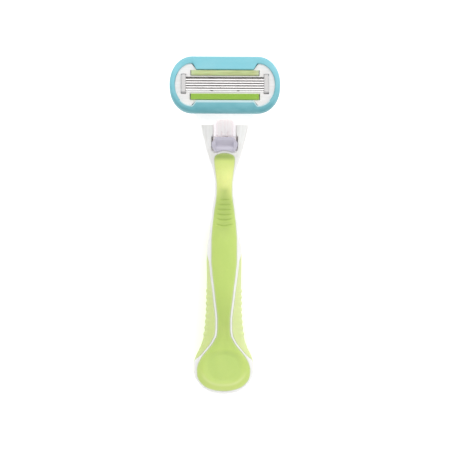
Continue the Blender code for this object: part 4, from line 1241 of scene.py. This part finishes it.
class RAZOR_OT_stage(bpy.types.Operator):
    """Set a pale floor, soft lights and the camera overhead"""

    bl_idname = "razor.stage"
    bl_label = "Stage"

    def execute(self, context):
        s = context.scene.razor_stage
        scene = context.scene
        mesh = bpy.data.meshes.new("floor")
        mesh.from_pydata([(-3, -3, 0), (3, -3, 0), (3, 3, 0), (-3, 3, 0)], [], [(0, 1, 2, 3)])
        mesh.transform(Matrix.Translation((0.0, 0.0, -0.0002)))
        floor = bpy.data.objects.new("floor", mesh)
        scene.collection.objects.link(floor)
        mesh.materials.append(floor_paper())

        world = bpy.data.worlds.new("soft_studio")
        world.use_nodes = True
        world.node_tree.nodes["Background"].inputs["Color"].default_value = (1.0, 1.0, 1.0, 1.0)
        world.node_tree.nodes["Background"].inputs["Strength"].default_value = 0.62
        scene.world = world

        def area(name, place, size, power, target=(0.0, 0.02, 0.01)):
            light = bpy.data.lights.new(name, "AREA")
            light.shape = "RECTANGLE"
            light.size, light.size_y = size
            light.energy = power
            lamp = bpy.data.objects.new(name, light)
            lamp.location = place
            aim = Vector(target) - Vector(place)
            lamp.rotation_euler = aim.to_track_quat("-Z", "Y").to_euler()
            scene.collection.objects.link(lamp)

        area("key_light", (0.05, 0.75, 0.75), (1.0, 0.6), s.key_power)
        area("side_light", (0.8, 0.1, 0.55), (0.5, 0.9), s.fill_power)
        area("front_light", (0.0, -0.8, 0.5), (1.0, 0.4), s.front_power)

        camera = bpy.data.cameras.new("overhead")
        camera.sensor_width = 36.0
        camera.lens = 36.0 * (s.distance - 0.016) / s.frame_width
        camera.clip_end = 20.0
        eye = bpy.data.objects.new("overhead", camera)
        eye.location = (0.00077, -0.0001, s.distance)
        eye.rotation_euler = (0.0, 0.0, 0.0048)
        scene.collection.objects.link(eye)
        scene.camera = eye
        scene.view_settings.view_transform = "Standard"
        return {"FINISHED"}


class RAZOR_PT_panel(bpy.types.Panel):
    """Lists the razor's pieces and settings"""

    bl_idname = "RAZOR_PT_panel"
    bl_label = "Cartridge Razor"
    bl_space_type = "VIEW_3D"
    bl_region_type = "UI"
    bl_category = "Razor"

    def draw(self, context):
        layout = self.layout
        scene = context.scene
        for label, group in (
            ("Handle", scene.razor_handle),
            ("Head", scene.razor_head),
            ("Stage", scene.razor_stage),
        ):
            box = layout.box()
            box.label(text=label)
            for name in type(group).__annotations__:
                box.prop(group, name)
        for operator in OPERATORS:
            layout.operator(operator.bl_idname)


OPERATORS = (
    RAZOR_OT_core,
    RAZOR_OT_front_pad,
    RAZOR_OT_rear_grip,
    RAZOR_OT_button,
    RAZOR_OT_surround,
    RAZOR_OT_strips,
    RAZOR_OT_blades,
    RAZOR_OT_stage,
)
CLASSES = (RazorHandleSettings, RazorHeadSettings, RazorStageSettings, *OPERATORS, RAZOR_PT_panel)


def register():
    for cls in CLASSES:
        bpy.utils.register_class(cls)
    bpy.types.Scene.razor_handle = PointerProperty(type=RazorHandleSettings)
    bpy.types.Scene.razor_head = PointerProperty(type=RazorHeadSettings)
    bpy.types.Scene.razor_stage = PointerProperty(type=RazorStageSettings)


def unregister():
    del bpy.types.Scene.razor_stage
    del bpy.types.Scene.razor_head
    del bpy.types.Scene.razor_handle
    for cls in reversed(CLASSES):
        bpy.utils.unregister_class(cls)


def main():
    register()
    bpy.ops.razor.core()
    bpy.ops.razor.front_pad()
    bpy.ops.razor.rear_grip()
    bpy.ops.razor.button()
    bpy.ops.razor.surround()
    bpy.ops.razor.strips()
    bpy.ops.razor.blades()
    bpy.ops.razor.stage()


if __name__ == "__main__":
    main()
